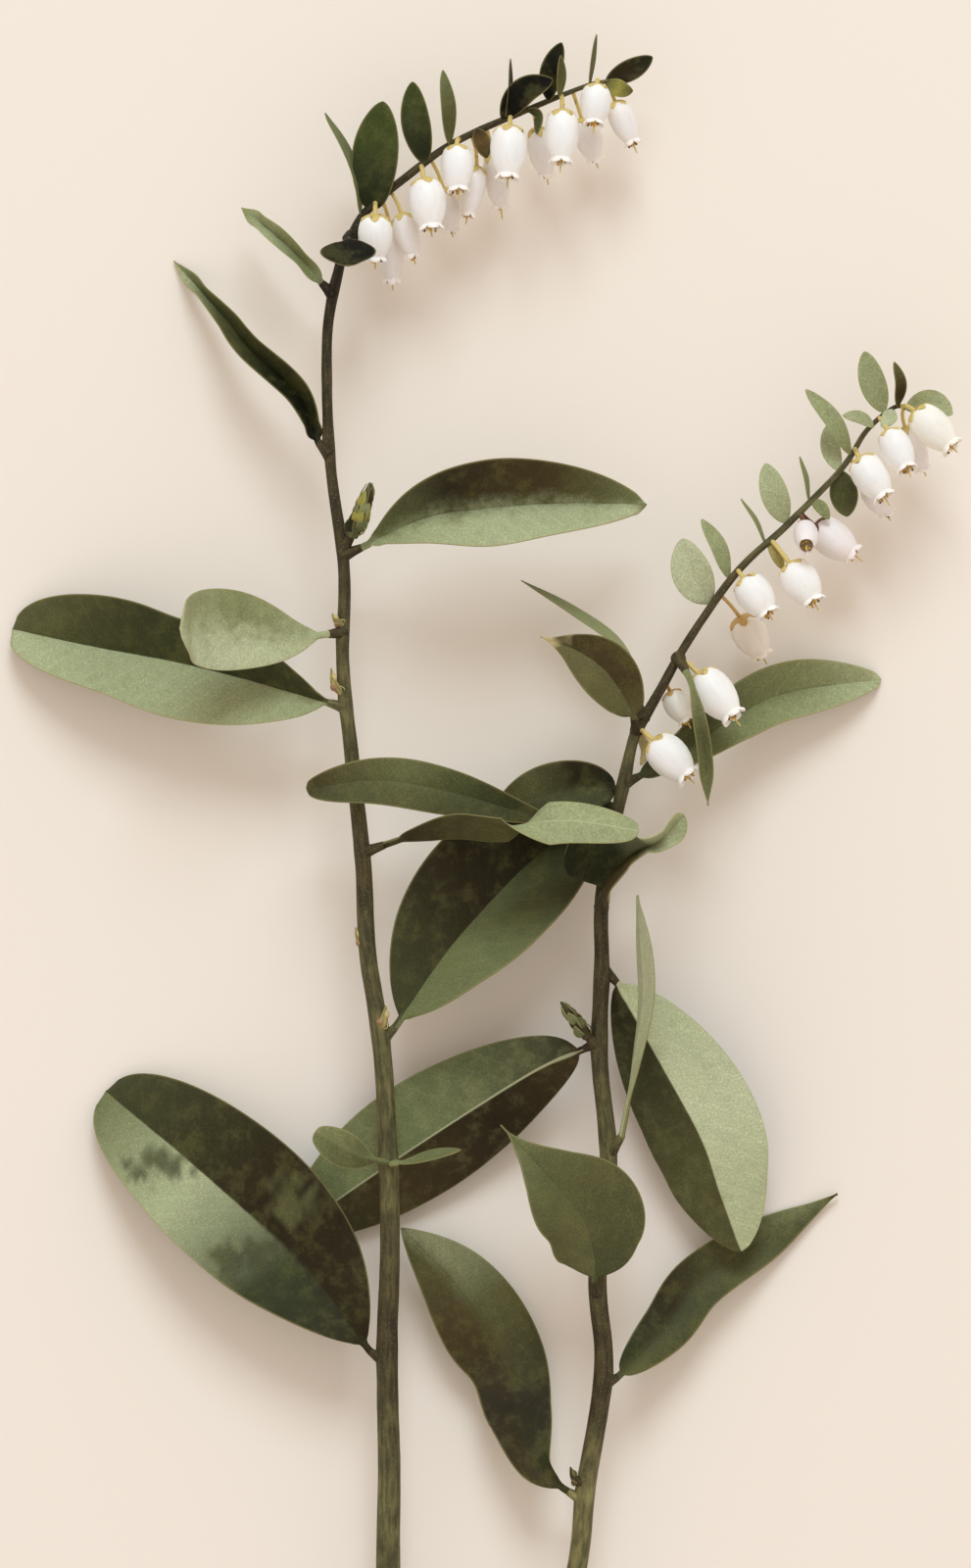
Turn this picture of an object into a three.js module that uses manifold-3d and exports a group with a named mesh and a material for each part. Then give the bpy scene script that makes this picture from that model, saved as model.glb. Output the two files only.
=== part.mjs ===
// Leatherleaf: one cut, forked spray in flower, lying on a flat surface.
// Units are millimetres and +Z is up. The spray is laid out on a sheet seen from above: x runs right and
// y runs up from a corner of the sheet, and z is the height above it. The last lines move the whole spray
// so that the middle of its footprint is the origin.

import * as THREE from "three";
import { mergeVertices } from "three/addons/utils/BufferGeometryUtils.js";
import Module from "manifold-3d";

const wasm = await Module();
wasm.setup();

// Driving dimensions.
const FOOTPRINT_MIDDLE = [49.53, 59.16];
const BLADE_THICK = 0.45;
const STALK_LONG = 2.2;
const STALK_WIDE = 0.85;
const STALK_THICK = 0.75;
const BLUNT_TIP = 0.2;
const CLEAR = 0.3;
const STEM_SIDES = 10;
const LEAF_CELLS = { across: 4, along: 9 };
const BRACT_CELLS = { across: 2, along: 5 };
const BRACT_THICK = 0.35;
const PEDICEL_RADIUS = 0.28;
const FLOWER_SIDES = 10;

const finish = (color, roughness) =>
  new THREE.MeshStandardMaterial({ color, roughness, metalness: 0 });
const BARK = finish("#4c4a2e", 0.8);
const LEAF_GREEN = finish("#5a6a45", 0.6);
const SPIKE_GREEN = finish("#55603a", 0.7);
const BUD_GREEN = finish("#6b7440", 0.7);
const PETAL_WHITE = finish("#f4f1e8", 0.5);

// Small helpers for points, smooth curves and solids.
const at = ([x, y, z]) => new THREE.Vector3(x, y, z);
const smooth = (points) => new THREE.CatmullRomCurve3(points.map(at), false, "catmullrom");
const mix = (a, b, share) => a + (b - a) * share;
const radians = THREE.MathUtils.degToRad;

// A value at a share of the way: one number all along, or read from an evenly spaced list.
function along(value, share) {
  if (!Array.isArray(value)) return value;
  const step = THREE.MathUtils.clamp(share, 0, 1) * (value.length - 1);
  const from = Math.min(Math.floor(step), value.length - 2);
  return mix(value[from], value[from + 1], step - from);
}

function moveVertices(geometry, move) {
  const position = geometry.getAttribute("position");
  const vertex = new THREE.Vector3();
  for (let i = 0; i < position.count; i++) {
    vertex.fromBufferAttribute(position, i);
    const moved = move(vertex);
    position.setXYZ(i, moved.x, moved.y, moved.z);
  }
  return geometry;
}

function closedSolid(geometry) {
  const bare = geometry.clone();
  bare.deleteAttribute("normal");
  bare.deleteAttribute("uv");
  const merged = mergeVertices(bare, 1e-4);
  return new wasm.Manifold(
    new wasm.Mesh({
      numProp: 3,
      vertProperties: merged.getAttribute("position").array,
      triVerts: new Uint32Array(merged.index.array),
    }),
  );
}

function fused(geometries) {
  const solid = geometries.map(closedSolid).reduce((sum, next) => sum.add(next));
  const mesh = solid.getMesh();
  const geometry = new THREE.BufferGeometry();
  geometry.setAttribute("position", new THREE.BufferAttribute(mesh.vertProperties, 3));
  geometry.setIndex(new THREE.BufferAttribute(mesh.triVerts, 1));
  return geometry;
}

// A limb: a cylinder bent along a curve, with its radius running through a list of radii.
function limb(points, radii, sides = STEM_SIDES, steps = points.length * 2) {
  const spine = smooth(points);
  const reach = new THREE.CatmullRomCurve3(
    radii.map((radius) => new THREE.Vector3(radius, 0, 0)),
    false,
    "catmullrom",
  );
  const rod = new THREE.CylinderGeometry(1, 1, 1, sides, steps);
  const up = new THREE.Vector3();
  const side = new THREE.Vector3();
  return moveVertices(rod, (v) => {
    const share = THREE.MathUtils.clamp(v.y + 0.5, 0, 1);
    const tangent = spine.getTangentAt(share);
    const guide = Math.abs(tangent.z) > 0.9 ? new THREE.Vector3(0, 1, 0) : new THREE.Vector3(0, 0, 1);
    up.copy(guide).addScaledVector(tangent, -guide.dot(tangent)).normalize();
    side.crossVectors(tangent, up);
    const radius = reach.getPoint(share).x;
    return spine
      .getPointAt(share)
      .addScaledVector(side, v.x * radius)
      .addScaledVector(up, v.z * radius);
  });
}

// Half the blade's width at a share of its length: an ellipse-like outline, widest at `widest`, whose ends
// are blunt where `ends` is small and drawn out where it is large.
function halfWidth(leaf, share) {
  const skew = Math.log(0.5) / Math.log(leaf.widest ?? 0.5);
  const power = along(leaf.ends ?? [0.85, 0.6], share);
  return (leaf.width / 2) * Math.sin(Math.PI * Math.min(share, 1) ** skew) ** power;
}

// A leaf: a slab bent along its midrib, which runs from the foot of the stalk to the tip. `roll` turns it
// about the midrib, left side up, and `fold` lifts both halves; both are degrees, as one number or as a
// list from base to tip. `wave` is the height, number and phase of the ripples along its edge.
function leafGeometry(leaf, cells = LEAF_CELLS, thick = BLADE_THICK) {
  const midrib = smooth(leaf.path);
  const stalk = (leaf.stalk ?? STALK_LONG) / midrib.getLength();
  const [waveHigh, waves, wavePhase] = leaf.wave ?? [0, 1, 0];
  const slab = new THREE.BoxGeometry(2, 1, 1, cells.across, 1, cells.along);
  return moveVertices(slab, (v) => {
    const even = THREE.MathUtils.clamp(v.z + 0.5, 0, 1);
    const share = mix(even, (1 - Math.cos(Math.PI * even)) / 2, 0.6);
    const blade = (share - stalk) / (1 - stalk);
    const half = blade > 0 ? halfWidth(leaf, blade) : 0;
    const narrowest = stalk > 0 ? mix(STALK_WIDE / 2, BLUNT_TIP, share) : BLUNT_TIP;
    const tangent = midrib.getTangentAt(share);
    const left = new THREE.Vector3(-tangent.y, tangent.x, 0).normalize();
    const up = new THREE.Vector3().crossVectors(tangent, left);
    const roll = radians(along(leaf.roll ?? 0, share));
    const fold = radians(along(leaf.fold ?? 0, share)) * THREE.MathUtils.smoothstep(half, 0.3, 1.5);
    const hand = Math.sign(v.x);
    const lean = hand * roll + (hand === 0 ? 0 : fold);
    const outward = left.clone().multiplyScalar(hand * Math.cos(lean)).addScaledVector(up, Math.sin(lean));
    const tilt = roll + hand * fold;
    const facing = up.clone().multiplyScalar(Math.cos(tilt)).addScaledVector(left, -Math.sin(tilt));
    const ripple = waveHigh * v.x * v.x * Math.sin(2 * Math.PI * (waves * blade + wavePhase));
    const stalkShare = 1 - THREE.MathUtils.smoothstep(blade, -0.02, 0.08);
    const sheet = mix(thick, stalk > 0 ? STALK_THICK : thick, stalkShare);
    const mitre = hand === 0 ? 1 / Math.max(Math.cos(fold), 0.5) : 1;
    return midrib
      .getPointAt(share)
      .addScaledVector(outward, Math.abs(v.x) * Math.max(half, narrowest))
      .addScaledVector(facing, v.y * sheet * mitre + (half > 0 ? ripple : 0));
  });
}

// A flower: a nodding urn turned from a profile, from the tip of its stalk to its mouth, whose rim is drawn
// out into five lobes. Profile points are shares of the flower's radius and of its length.
const URN = [
  [0, 0],
  [0.42, 0.01],
  [0.87, 0.15],
  [1.0, 0.41],
  [0.9, 0.68],
  [0.6, 0.9],
  [0.76, 1.0],
  [0, 0.9],
];
const LOBE_SHARE = 0.99;
const NOTCH = 0.7;

function flowerGeometry({ top, mouth, girth }) {
  const start = at(top);
  const axis = at(mouth).sub(start);
  const long = axis.length();
  const radius = girth / 2;
  const turned = new THREE.LatheGeometry(
    URN.map(([out, down]) => new THREE.Vector2(out * radius, down * long)),
    FLOWER_SIDES,
  );
  const turn = new THREE.Quaternion().setFromUnitVectors(new THREE.Vector3(0, 1, 0), axis.normalize());
  return moveVertices(turned, (v) => {
    const point = v.clone();
    if (v.y > long * LOBE_SHARE) {
      const step = Math.round((Math.atan2(v.x, v.z) / Math.PI) * (FLOWER_SIDES / 2));
      const inward = step % 2 === 0 ? 1 : NOTCH;
      point.set(v.x * inward, v.y, v.z * inward);
    }
    return point.applyQuaternion(turn).add(start);
  });
}

// The two stems. The main one runs from the cut to the foot of its flower spike, and the side one leaves it
// above the cut, bends upwards and ends at the foot of its own spike.
const MAIN_STEM = {
  path: [
    [40.6, -38.0, 1.5],
    [40.0, -30.0, 2.6],
    [39.6, -14.0, 4.3],
    [39.6, 0.5, 5.5],
    [39.7, 10.2, 6.2],
    [39.5, 21.7, 6.9],
    [39.8, 34.0, 7.6],
    [39.4, 47.0, 8.3],
    [38.8, 54.5, 8.6],
    [37.5, 63.0, 8.8],
    [37.1, 71.5, 8.9],
    [36.0, 82.0, 9.0],
    [35.0, 92.0, 8.9],
    [35.1, 102.0, 8.7],
    [33.7, 113.0, 8.5],
    [33.4, 125.5, 8.2],
    [34.6, 132.6, 8.0],
  ],
  radii: [1.45, 1.35, 1.2, 1.05, 0.95, 0.85, 0.68, 0.55, 0.5],
};
const SIDE_STEM = {
  path: [
    [42.5, -28.0, 2.7],
    [46.6, -24.6, 3.2],
    [52.0, -18.2, 4.0],
    [56.6, -9.0, 4.9],
    [59.0, 0.5, 5.7],
    [59.8, 8.1, 6.3],
    [61.6, 20.0, 7.2],
    [61.0, 29.5, 7.8],
    [62.1, 41.0, 8.3],
    [61.2, 52.0, 8.7],
    [61.4, 61.0, 8.9],
    [61.5, 69.0, 9.0],
    [63.5, 79.5, 9.0],
    [64.5, 84.0, 9.0],
  ],
  radii: [1.05, 1.05, 1.02, 0.98, 0.9, 0.85, 0.75, 0.6],
};
const FORK_COLLAR = 0.95;

// The leaves of the main stem, from the cut upwards.
const MAIN_LEAVES = {
  main_leaf_low_left: {
    path: [[37.9, 21.9, 7.2], [30.4, 31.2, 5.2], [20.3, 40.4, 2.4], [10.6, 48.5, 0.8]],
    width: 16.1,
    roll: 7,
    fold: 18,
    stalk: 1.2,
    widest: 0.53,
    ends: [0.58, 0.4],
    wave: [0.5, 1.5, 0.3],
  },
  main_leaf_front_left: {
    path: [[39.1, 41.3, 9.7], [36.2, 42.3, 12.4], [32.2, 44.6, 15.0]],
    width: 4.8,
    fold: 15,
    stalk: 0.8,
    widest: 0.62,
    ends: [0.9, 0.4],
  },
  main_leaf_front_right: {
    path: [[40.3, 41.2, 9.7], [43.6, 41.9, 12.0], [47.0, 42.8, 13.6]],
    width: 4.4,
    roll: -75,
    fold: 8,
    stalk: 0.8,
  },
  main_leaf_big: {
    path: [[40.2, 55.0, 8.9], [46.1, 63.4, 6.6], [53.0, 70.9, 4.4], [58.5, 75.3, 3.4], [63.0, 77.6, 2.8]],
    width: 16.4,
    roll: -15,
    fold: 27,
    stalk: 1.5,
    widest: 0.5,
    ends: [0.65, 0.6],
  },
  main_leaf_twisted: {
    path: [
      [39.0, 73.7, 9.7],
      [43.0, 75.0, 12.0],
      [47.0, 75.8, 13.6],
      [52.0, 75.6, 14.6],
      [58.0, 76.2, 14.8],
      [65.1, 75.2, 14.0],
    ],
    width: 5.6,
    roll: [50, 56, 58, 64, 145, 152, 155],
    fold: 5,
    ends: [0.8, 0.45],
    cells: { across: 4, along: 14 },
  },
  main_leaf_left: {
    path: [[33.8, 88.2, 8.8], [25.4, 90.6, 6.4], [17.7, 92.5, 3.9], [9.0, 94.1, 1.75], [1.0, 95.8, 0.8]],
    width: 12.6,
    roll: [-16, -4, 8, 18],
    fold: [30, 28, 32, 27],
    stalk: 0.8,
    widest: 0.54,
    ends: [0.45, 0.45],
    wave: [0.5, 1.6, 0.15],
  },
  main_leaf_left_front: {
    path: [[33.8, 95.3, 10.0], [29.4, 94.9, 11.0], [24.0, 95.6, 12.6], [19.8, 95.8, 16.4], [18.7, 95.8, 21.6]],
    width: 8.4,
    fold: 8,
    stalk: 1.0,
    widest: 0.55,
    ends: [0.75, 0.4],
  },
  main_leaf_right: {
    path: [[36.7, 104.0, 9.4], [43.5, 107.1, 10.4], [50.3, 108.1, 10.4], [58.0, 108.6, 9.6], [66.0, 108.5, 8.4]],
    width: 10.9,
    roll: -10,
    fold: 37,
    stalk: 1.2,
    ends: [0.75, 0.75],
  },
  main_leaf_narrow: {
    path: [[32.6, 114.6, 8.3], [30.4, 119.8, 6.8], [25.4, 124.5, 4.6], [22.7, 127.9, 2.9], [17.6, 133.6, 0.3]],
    width: 5.8,
    fold: [58, 66],
    stalk: 0.6,
    widest: 0.38,
    ends: [0.75, 0.9],
  },
  main_leaf_small: {
    path: [[33.0, 130.9, 8.2], [31.0, 133.3, 7.4], [28.1, 136.1, 6.2], [24.6, 138.9, 4.8]],
    width: 3.6,
    fold: 60,
    stalk: 0.4,
    ends: [0.6, 0.9],
  },
};

// The leaves of the side stem, from its foot upwards.
const SIDE_LEAVES = {
  side_leaf_between: {
    path: [
      [58.2, 7.6, 6.6],
      [54.6, 10.2, 5.4],
      [52.9, 15.5, 3.9],
      [51.0, 21.5, 2.7],
      [46.6, 28.6, 2.9],
      [40.9, 34.6, 4.4],
    ],
    width: 9.4,
    roll: 10,
    fold: 8,
    stalk: 1.0,
    widest: 0.57,
    ends: [0.55, 0.8],
    wave: [0.5, 1.2, 0.2],
  },
  side_leaf_low_right: {
    path: [[62.9, 19.3, 7.2], [68.0, 24.4, 4.4], [71.5, 28.9, 2.6], [78.6, 33.6, 0.7], [85.7, 37.9, 0.5]],
    width: 6.0,
    roll: [0, -18],
    fold: [8, 22],
    stalk: 0.8,
    widest: 0.45,
    ends: [0.5, 1.1],
    wave: [0.5, 1.8, 0.4],
  },
  side_leaf_low_front: {
    path: [[60.7, 29.4, 9.6], [60.6, 32.2, 10.8], [59.3, 36.0, 12.4], [55.8, 40.2, 13.2], [51.1, 45.3, 13.2]],
    width: 12.4,
    roll: [18, 18, 10],
    fold: [30, 30, 20],
    stalk: 0.7,
    widest: 0.3,
    ends: [0.5, 1.9],
  },
  side_leaf_narrow: {
    path: [[63.4, 43.9, 9.6], [64.7, 51.1, 12.6], [65.7, 58.6, 14.0], [65.1, 68.1, 13.6]],
    width: 6.2,
    roll: 104,
    fold: 4,
    stalk: 3.0,
    widest: 0.62,
    ends: [0.7, 1.0],
  },
  side_leaf_behind: {
    path: [[59.9, 53.1, 8.0], [54.0, 50.4, 7.0], [41.7, 42.5, 5.0], [35.0, 37.9, 3.4], [29.5, 34.0, 1.7]],
    width: 13.0,
    roll: -8,
    fold: [-23, -23, -16],
    stalk: 1.0,
    widest: 0.52,
    ends: [0.5, 0.6],
  },
  side_leaf_big_right: {
    path: [[62.8, 60.0, 8.7], [66.3, 53.7, 8.4], [71.5, 44.1, 7.4], [73.5, 38.5, 6.2], [75.8, 32.3, 4.6]],
    width: 13.8,
    roll: [13, 13, 8],
    fold: [-30, -30, -20],
    stalk: 0.6,
    widest: 0.52,
    ends: [0.55, 0.65],
  },
  side_leaf_front: {
    path: [[61.6, 69.0, 10.7], [62.2, 70.6, 11.4], [64.4, 72.4, 12.0], [67.4, 73.8, 12.8], [70.2, 76.2, 13.6]],
    width: 11.4,
    roll: [-42, -42, -42, -5, 75, 100],
    fold: [38, 38, 40, 75, 30, 10],
    stalk: 0.6,
    widest: 0.28,
    ends: [0.4, 1.3],
  },
  side_leaf_long_left: {
    path: [[60.9, 75.2, 9.6], [57.0, 76.0, 9.7], [46.0, 79.2, 10.9], [38.6, 80.4, 11.9], [31.3, 79.5, 12.6]],
    width: 5.4,
    roll: -8,
    fold: 30,
    widest: 0.62,
    ends: [0.8, 0.4],
  },
  side_leaf_behind_top: {
    path: [[62.3, 79.3, 7.8], [58.6, 79.6, 7.5], [50.6, 77.4, 7.3]],
    width: 6.2,
    fold: 10,
    stalk: 0.5,
    ends: [0.7, 0.6],
  },
  side_leaf_right: {
    path: [[64.9, 80.6, 8.4], [69.5, 83.2, 6.4], [74.9, 86.7, 4.4], [80.6, 89.4, 2.4], [90.1, 90.7, 0.3]],
    width: 7.4,
    roll: -5,
    fold: 36,
    stalk: 0.6,
    widest: 0.58,
    ends: [0.75, 0.6],
  },
};

// The leaves at the foot of each flower spike. The one of the main spike stands up on end.
const MAIN_SPIKE_LEAVES = {
  main_leaf_under_spike: {
    path: [[35.3, 135.1, 9.3], [35.5, 134.9, 11.6], [35.6, 133.3, 15.9]],
    width: 5.8,
    fold: 12,
    stalk: 0.5,
    widest: 0.72,
    ends: [0.8, 0.45],
  },
};
const SIDE_SPIKE_LEAVES = {
  side_leaf_dark: {
    path: [[64.8, 86.5, 10.3], [63.8, 88.6, 11.2], [61.7, 91.6, 12.2], [58.6, 93.7, 12.4], [55.1, 95.0, 12.2]],
    width: 6.2,
    fold: 18,
    stalk: 0.6,
    widest: 0.42,
    ends: [0.6, 1.2],
  },
  side_leaf_thin: {
    path: [[65.2, 88.0, 8.2], [65.0, 90.8, 7.8], [62.8, 94.6, 7.2], [58.4, 97.8, 6.6], [53.2, 100.8, 6.0]],
    width: 3.0,
    roll: 68,
    stalk: 0.8,
    ends: [0.8, 0.9],
  },
  side_leaf_hanging: {
    path: [[69.9, 91.6, 11.0], [70.5, 90.2, 13.0], [71.3, 86.6, 14.2], [71.9, 82.6, 14.0], [72.2, 77.8, 12.6]],
    width: 2.8,
    fold: 66,
    stalk: 0.6,
    widest: 0.6,
    ends: [0.8, 0.8],
  },
};

// Shoot buds in the angle of a leaf, from foot to tip, and how thick they are. The smallest ones are part of
// their stem.
const BUDS = {
  main_bud: { path: [[36.4, 106.2, 9.8], [37.2, 107.8, 10.5], [37.8, 110.6, 11.0]], wide: 1.9 },
  side_bud: { path: [[60.0, 54.2, 9.8], [58.6, 56.0, 10.2], [57.2, 57.8, 10.2]], wide: 1.5 },
};
const SMALL_BUDS = {
  main: [
    { path: [[35.0, 96.2, 9.2], [34.0, 96.8, 9.6], [33.4, 97.8, 9.8]], wide: 0.9 },
    { path: [[35.4, 89.6, 9.2], [34.3, 90.3, 9.6], [33.6, 91.6, 9.8]], wide: 1.0 },
    { path: [[37.3, 63.2, 8.8], [36.4, 64.4, 8.9], [35.9, 66.2, 9.0]], wide: 0.9 },
    { path: [[38.8, 55.0, 9.1], [39.2, 56.0, 9.5], [39.4, 57.4, 9.7]], wide: 1.3 },
  ],
  side: [
    { path: [[59.6, 8.3, 6.6], [58.6, 9.2, 7.2], [58.0, 10.4, 7.4]], wide: 0.9 },
  ],
};

// The flower spikes. Each has an axis, small leaves that stand on it, and flowers that hang from it in two
// ranks: the front one nearer the eye of someone who looks down on the sheet, and the back one under it.
const BRACT = { stalk: 0, roll: 0, fold: 14, ends: [0.6, 0.6] };
const FRONT = [10.0, 11.0];
const BACK = [5.4, 4.2];
const MAIN_SPIKE = {
  axis: [
    [34.9, 133.4, 8.0],
    [37.2, 138.2, 7.9],
    [42.3, 142.6, 7.8],
    [46.6, 145.6, 7.7],
    [52.6, 148.3, 7.6],
    [59.4, 151.1, 7.4],
    [62.2, 151.8, 7.2],
  ],
  radii: [0.48, 0.42, 0.34, 0.22],
  bracts: [
    { path: [[36.9, 138.0, 8], [35.9, 142.6, 9.5], [33.2, 148.4, 10]], width: 3.2, roll: 72 },
    { path: [[38.0, 138.6, 8], [38.3, 144.0, 9], [39.1, 149.6, 9.4]], width: 4.9 },
    { path: [[43.4, 143.2, 8], [42.4, 147.6, 9], [42.1, 151.6, 9.4]], width: 3.1 },
    { path: [[45.9, 145.2, 8], [45.7, 149.2, 9], [45.2, 152.8, 9]], width: 1.9, roll: 35 },
    { path: [[51.7, 147.9, 8], [52.0, 151.0, 9], [52.1, 153.9, 10]], width: 1.8, roll: 76 },
    { path: [[51.2, 147.8, 8], [53.4, 150.6, 9.4], [56.4, 151.8, 10]], width: 2.9 },
    { path: [[56.0, 149.7, 8], [56.2, 152.6, 9], [57.3, 155.6, 9.4]], width: 2.3 },
    { path: [[57.1, 150.1, 8], [57.3, 152.2, 9.8], [57.2, 154.2, 11]], width: 1.1, roll: 25 },
    { path: [[53.8, 148.8, 7.6], [54.9, 148.2, 9], [54.8, 146.2, 10]], width: 1.2, roll: 35 },
    { path: [[60.2, 151.3, 7.4], [60.5, 154.0, 8], [60.9, 156.5, 8]], width: 1.6, roll: 72 },
    { path: [[61.8, 151.7, 7.2], [64.6, 153.0, 7.6], [66.6, 154.2, 8]], width: 2.3 },
    { path: [[61.8, 151.7, 7.2], [63.4, 150.9, 8], [64.6, 150.7, 8]], width: 1.8 },
    { path: [[48.9, 146.6, 7.7], [49.4, 145.4, 8.8], [49.6, 143.8, 9.2]], width: 1.4 },
  ],
  flowers: [
    { top: [38.3, 138.0], mouth: [38.3, 133.4], girth: 3.5, high: [9.6, 9.2] },
    { top: [39.7, 137.4], mouth: [40.0, 131.4], girth: 2.8, high: [5.0, 3.8] },
    { top: [41.0, 138.2], mouth: [42.2, 133.8], girth: 2.6, high: [7.2, 7.2] },
    { top: [43.3, 141.6], mouth: [44.0, 136.5], girth: 3.9, high: FRONT },
    { top: [45.3, 140.8], mouth: [46.1, 136.6], girth: 2.6, high: BACK },
    { top: [46.6, 145.0], mouth: [46.8, 140.4], girth: 3.3, high: FRONT },
    { top: [48.7, 143.0], mouth: [47.7, 138.0], girth: 2.6, high: [6.4, 7.0] },
    { top: [50.3, 144.4], mouth: [51.1, 139.0], girth: 2.6, high: BACK },
    { top: [52.0, 147.0], mouth: [51.8, 141.7], girth: 3.7, high: FRONT },
    { top: [54.8, 147.0], mouth: [55.8, 142.2], girth: 2.8, high: BACK },
    { top: [57.4, 148.6], mouth: [57.2, 143.3], girth: 3.7, high: FRONT },
    { top: [59.4, 148.0], mouth: [60.8, 143.8], girth: 2.8, high: BACK },
    { top: [60.9, 151.2], mouth: [60.6, 147.2], girth: 3.3, high: FRONT },
    { top: [62.8, 149.6], mouth: [64.6, 145.4], girth: 2.7, high: [7.0, 7.2] },
  ],
};
const SIDE_SPIKE = {
  axis: [
    [64.7, 84.9, 9.0],
    [67.4, 89.6, 8.9],
    [70.1, 94.4, 8.8],
    [75.2, 101.6, 8.5],
    [80.4, 106.5, 8.2],
    [86.0, 112.3, 7.9],
    [88.4, 116.0, 7.8],
    [91.2, 118.4, 7.7],
    [92.6, 118.4, 7.6],
  ],
  radii: [0.58, 0.48, 0.42, 0.36, 0.24],
  bracts: [
    { path: [[72.4, 98.4, 8], [70.6, 101.4, 9.4], [69.6, 105.0, 10]], width: 4.2 },
    { path: [[74.4, 101.0, 8], [73.3, 104.2, 9], [71.6, 107.0, 9]], width: 1.9, roll: 25 },
    { path: [[78.2, 104.4, 8], [77.1, 106.8, 9], [75.6, 109.1, 9]], width: 1.6, roll: 72 },
    { path: [[80.2, 106.6, 8], [79.0, 109.6, 9], [78.1, 112.7, 9]], width: 2.9 },
    { path: [[82.6, 108.9, 8], [82.2, 111.2, 9], [81.6, 113.4, 9]], width: 1.6, roll: 70 },
    { path: [[85.6, 112.0, 7.6], [84.8, 114.2, 6.8], [84.4, 116.6, 6.6]], width: 2.0 },
    { path: [[86.8, 113.6, 8], [85.0, 117.0, 9.4], [82.2, 120.2, 10]], width: 2.0, roll: 20 },
    { path: [[85.8, 112.0, 7.8], [86.1, 109.8, 7.2], [86.5, 107.3, 6.8]], width: 3.0 },
    { path: [[89.2, 116.4, 8], [87.8, 117.4, 8.4], [86.0, 117.6, 9]], width: 1.3 },
    { path: [[90.2, 117.9, 8], [89.0, 121.0, 9], [88.2, 124.1, 9.4]], width: 2.8 },
    { path: [[91.6, 118.5, 8], [91.9, 120.8, 9.6], [91.2, 123.0, 10.4]], width: 1.3, roll: 20 },
    { path: [[92.4, 118.3, 7.8], [95.0, 119.0, 8.4], [97.2, 117.7, 8.6]], width: 2.5 },
    { path: [[91.2, 118.2, 7.8], [90.6, 117.2, 9.4], [89.9, 116.4, 10]], width: 1.6 },
    { path: [[78.4, 104.6, 8.2], [79.2, 103.4, 8.6], [79.9, 101.9, 8.2]], width: 1.2 },
    { path: [[82.8, 109.0, 8], [83.8, 108.2, 8.8], [84.6, 107.0, 9]], width: 1.3 },
    { path: [[65.0, 85.6, 8.6], [65.9, 83.6, 7.6], [65.4, 81.9, 7.2]], width: 1.3, roll: 35 },
  ],
  flowers: [
    { top: [66.7, 84.4], mouth: [70.2, 80.7], girth: 4.1, high: [11.0, 12.0] },
    { top: [68.4, 89.4], mouth: [70.1, 86.4], girth: 2.9, high: [7.2, 7.4] },
    { top: [71.3, 91.2], mouth: [74.8, 86.8], girth: 4.1, high: [10.4, 11.6] },
    { top: [75.6, 97.0], mouth: [77.8, 93.2], girth: 3.5, high: BACK },
    { top: [75.9, 100.9], mouth: [78.4, 97.3], girth: 3.7, high: FRONT },
    { top: [80.6, 102.4], mouth: [83.0, 98.5], girth: 3.9, high: FRONT },
    { top: [83.2, 106.4], mouth: [87.2, 103.4], girth: 3.9, high: [6.6, 6.8] },
    { top: [82.2, 106.2], mouth: [82.2, 104.2], girth: 2.6, high: [9.4, 13.2] },
    { top: [87.7, 113.2], mouth: [90.2, 109.2], girth: 3.7, high: FRONT },
    { top: [88.6, 111.0], mouth: [90.6, 107.6], girth: 2.8, high: BACK },
    { top: [90.6, 115.9], mouth: [92.5, 112.0], girth: 3.3, high: [10.4, 12.0] },
    { top: [92.4, 116.4], mouth: [94.3, 112.2], girth: 2.6, high: BACK },
    { top: [93.4, 118.0], mouth: [97.1, 114.3], girth: 3.8, high: FRONT },
  ],
};

// Where a point is nearest to a curve.
function nearest(spine, point) {
  let best = spine.getPointAt(0);
  for (let i = 1; i <= 400; i++) {
    const next = spine.getPointAt(i / 400);
    if (next.distanceTo(point) < best.distanceTo(point)) best = next;
  }
  return best;
}

// A short peg from a stem towards a leaf, along the leaf's own start, as the cushion under a leaf stalk is.
// It stops short of the leaf's foot.
function cushion(spine, path, radius = 0.5) {
  const foot = at(path[0]);
  const back = foot.clone().sub(smooth(path).getPointAt(0.02)).normalize();
  const away = nearest(spine, foot).distanceTo(foot);
  const root = nearest(spine, foot.clone().addScaledVector(back, away));
  const end = foot.clone().addScaledVector(back, CLEAR * 1.2);
  const middle = root.clone().lerp(end, 0.5);
  return limb([root, middle, end].map((p) => p.toArray()), [radius * 1.3, radius], 6, 2);
}

const budGeometry = ({ path, wide }, sides = 7) =>
  limb(path, [0.35, 0.42, 0.5, 0.48, 0.36, 0.12].map((share) => share * wide), sides, sides);

function stemGeometry(stem, borne, smallBuds, forks = []) {
  const spine = smooth(stem.path);
  const pegs = borne.map(({ path }) => cushion(spine, path));
  const collars = forks.map(({ path }) => cushion(spine, path, FORK_COLLAR));
  const buds = smallBuds.map((bud) => budGeometry(bud, 5));
  return fused([limb(stem.path, stem.radii), ...pegs, ...collars, ...buds]);
}

const flowerAt = ({ top, mouth, girth, high }) => ({
  top: [...top, high[0]],
  mouth: [...mouth, high[1]],
  girth,
});

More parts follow.
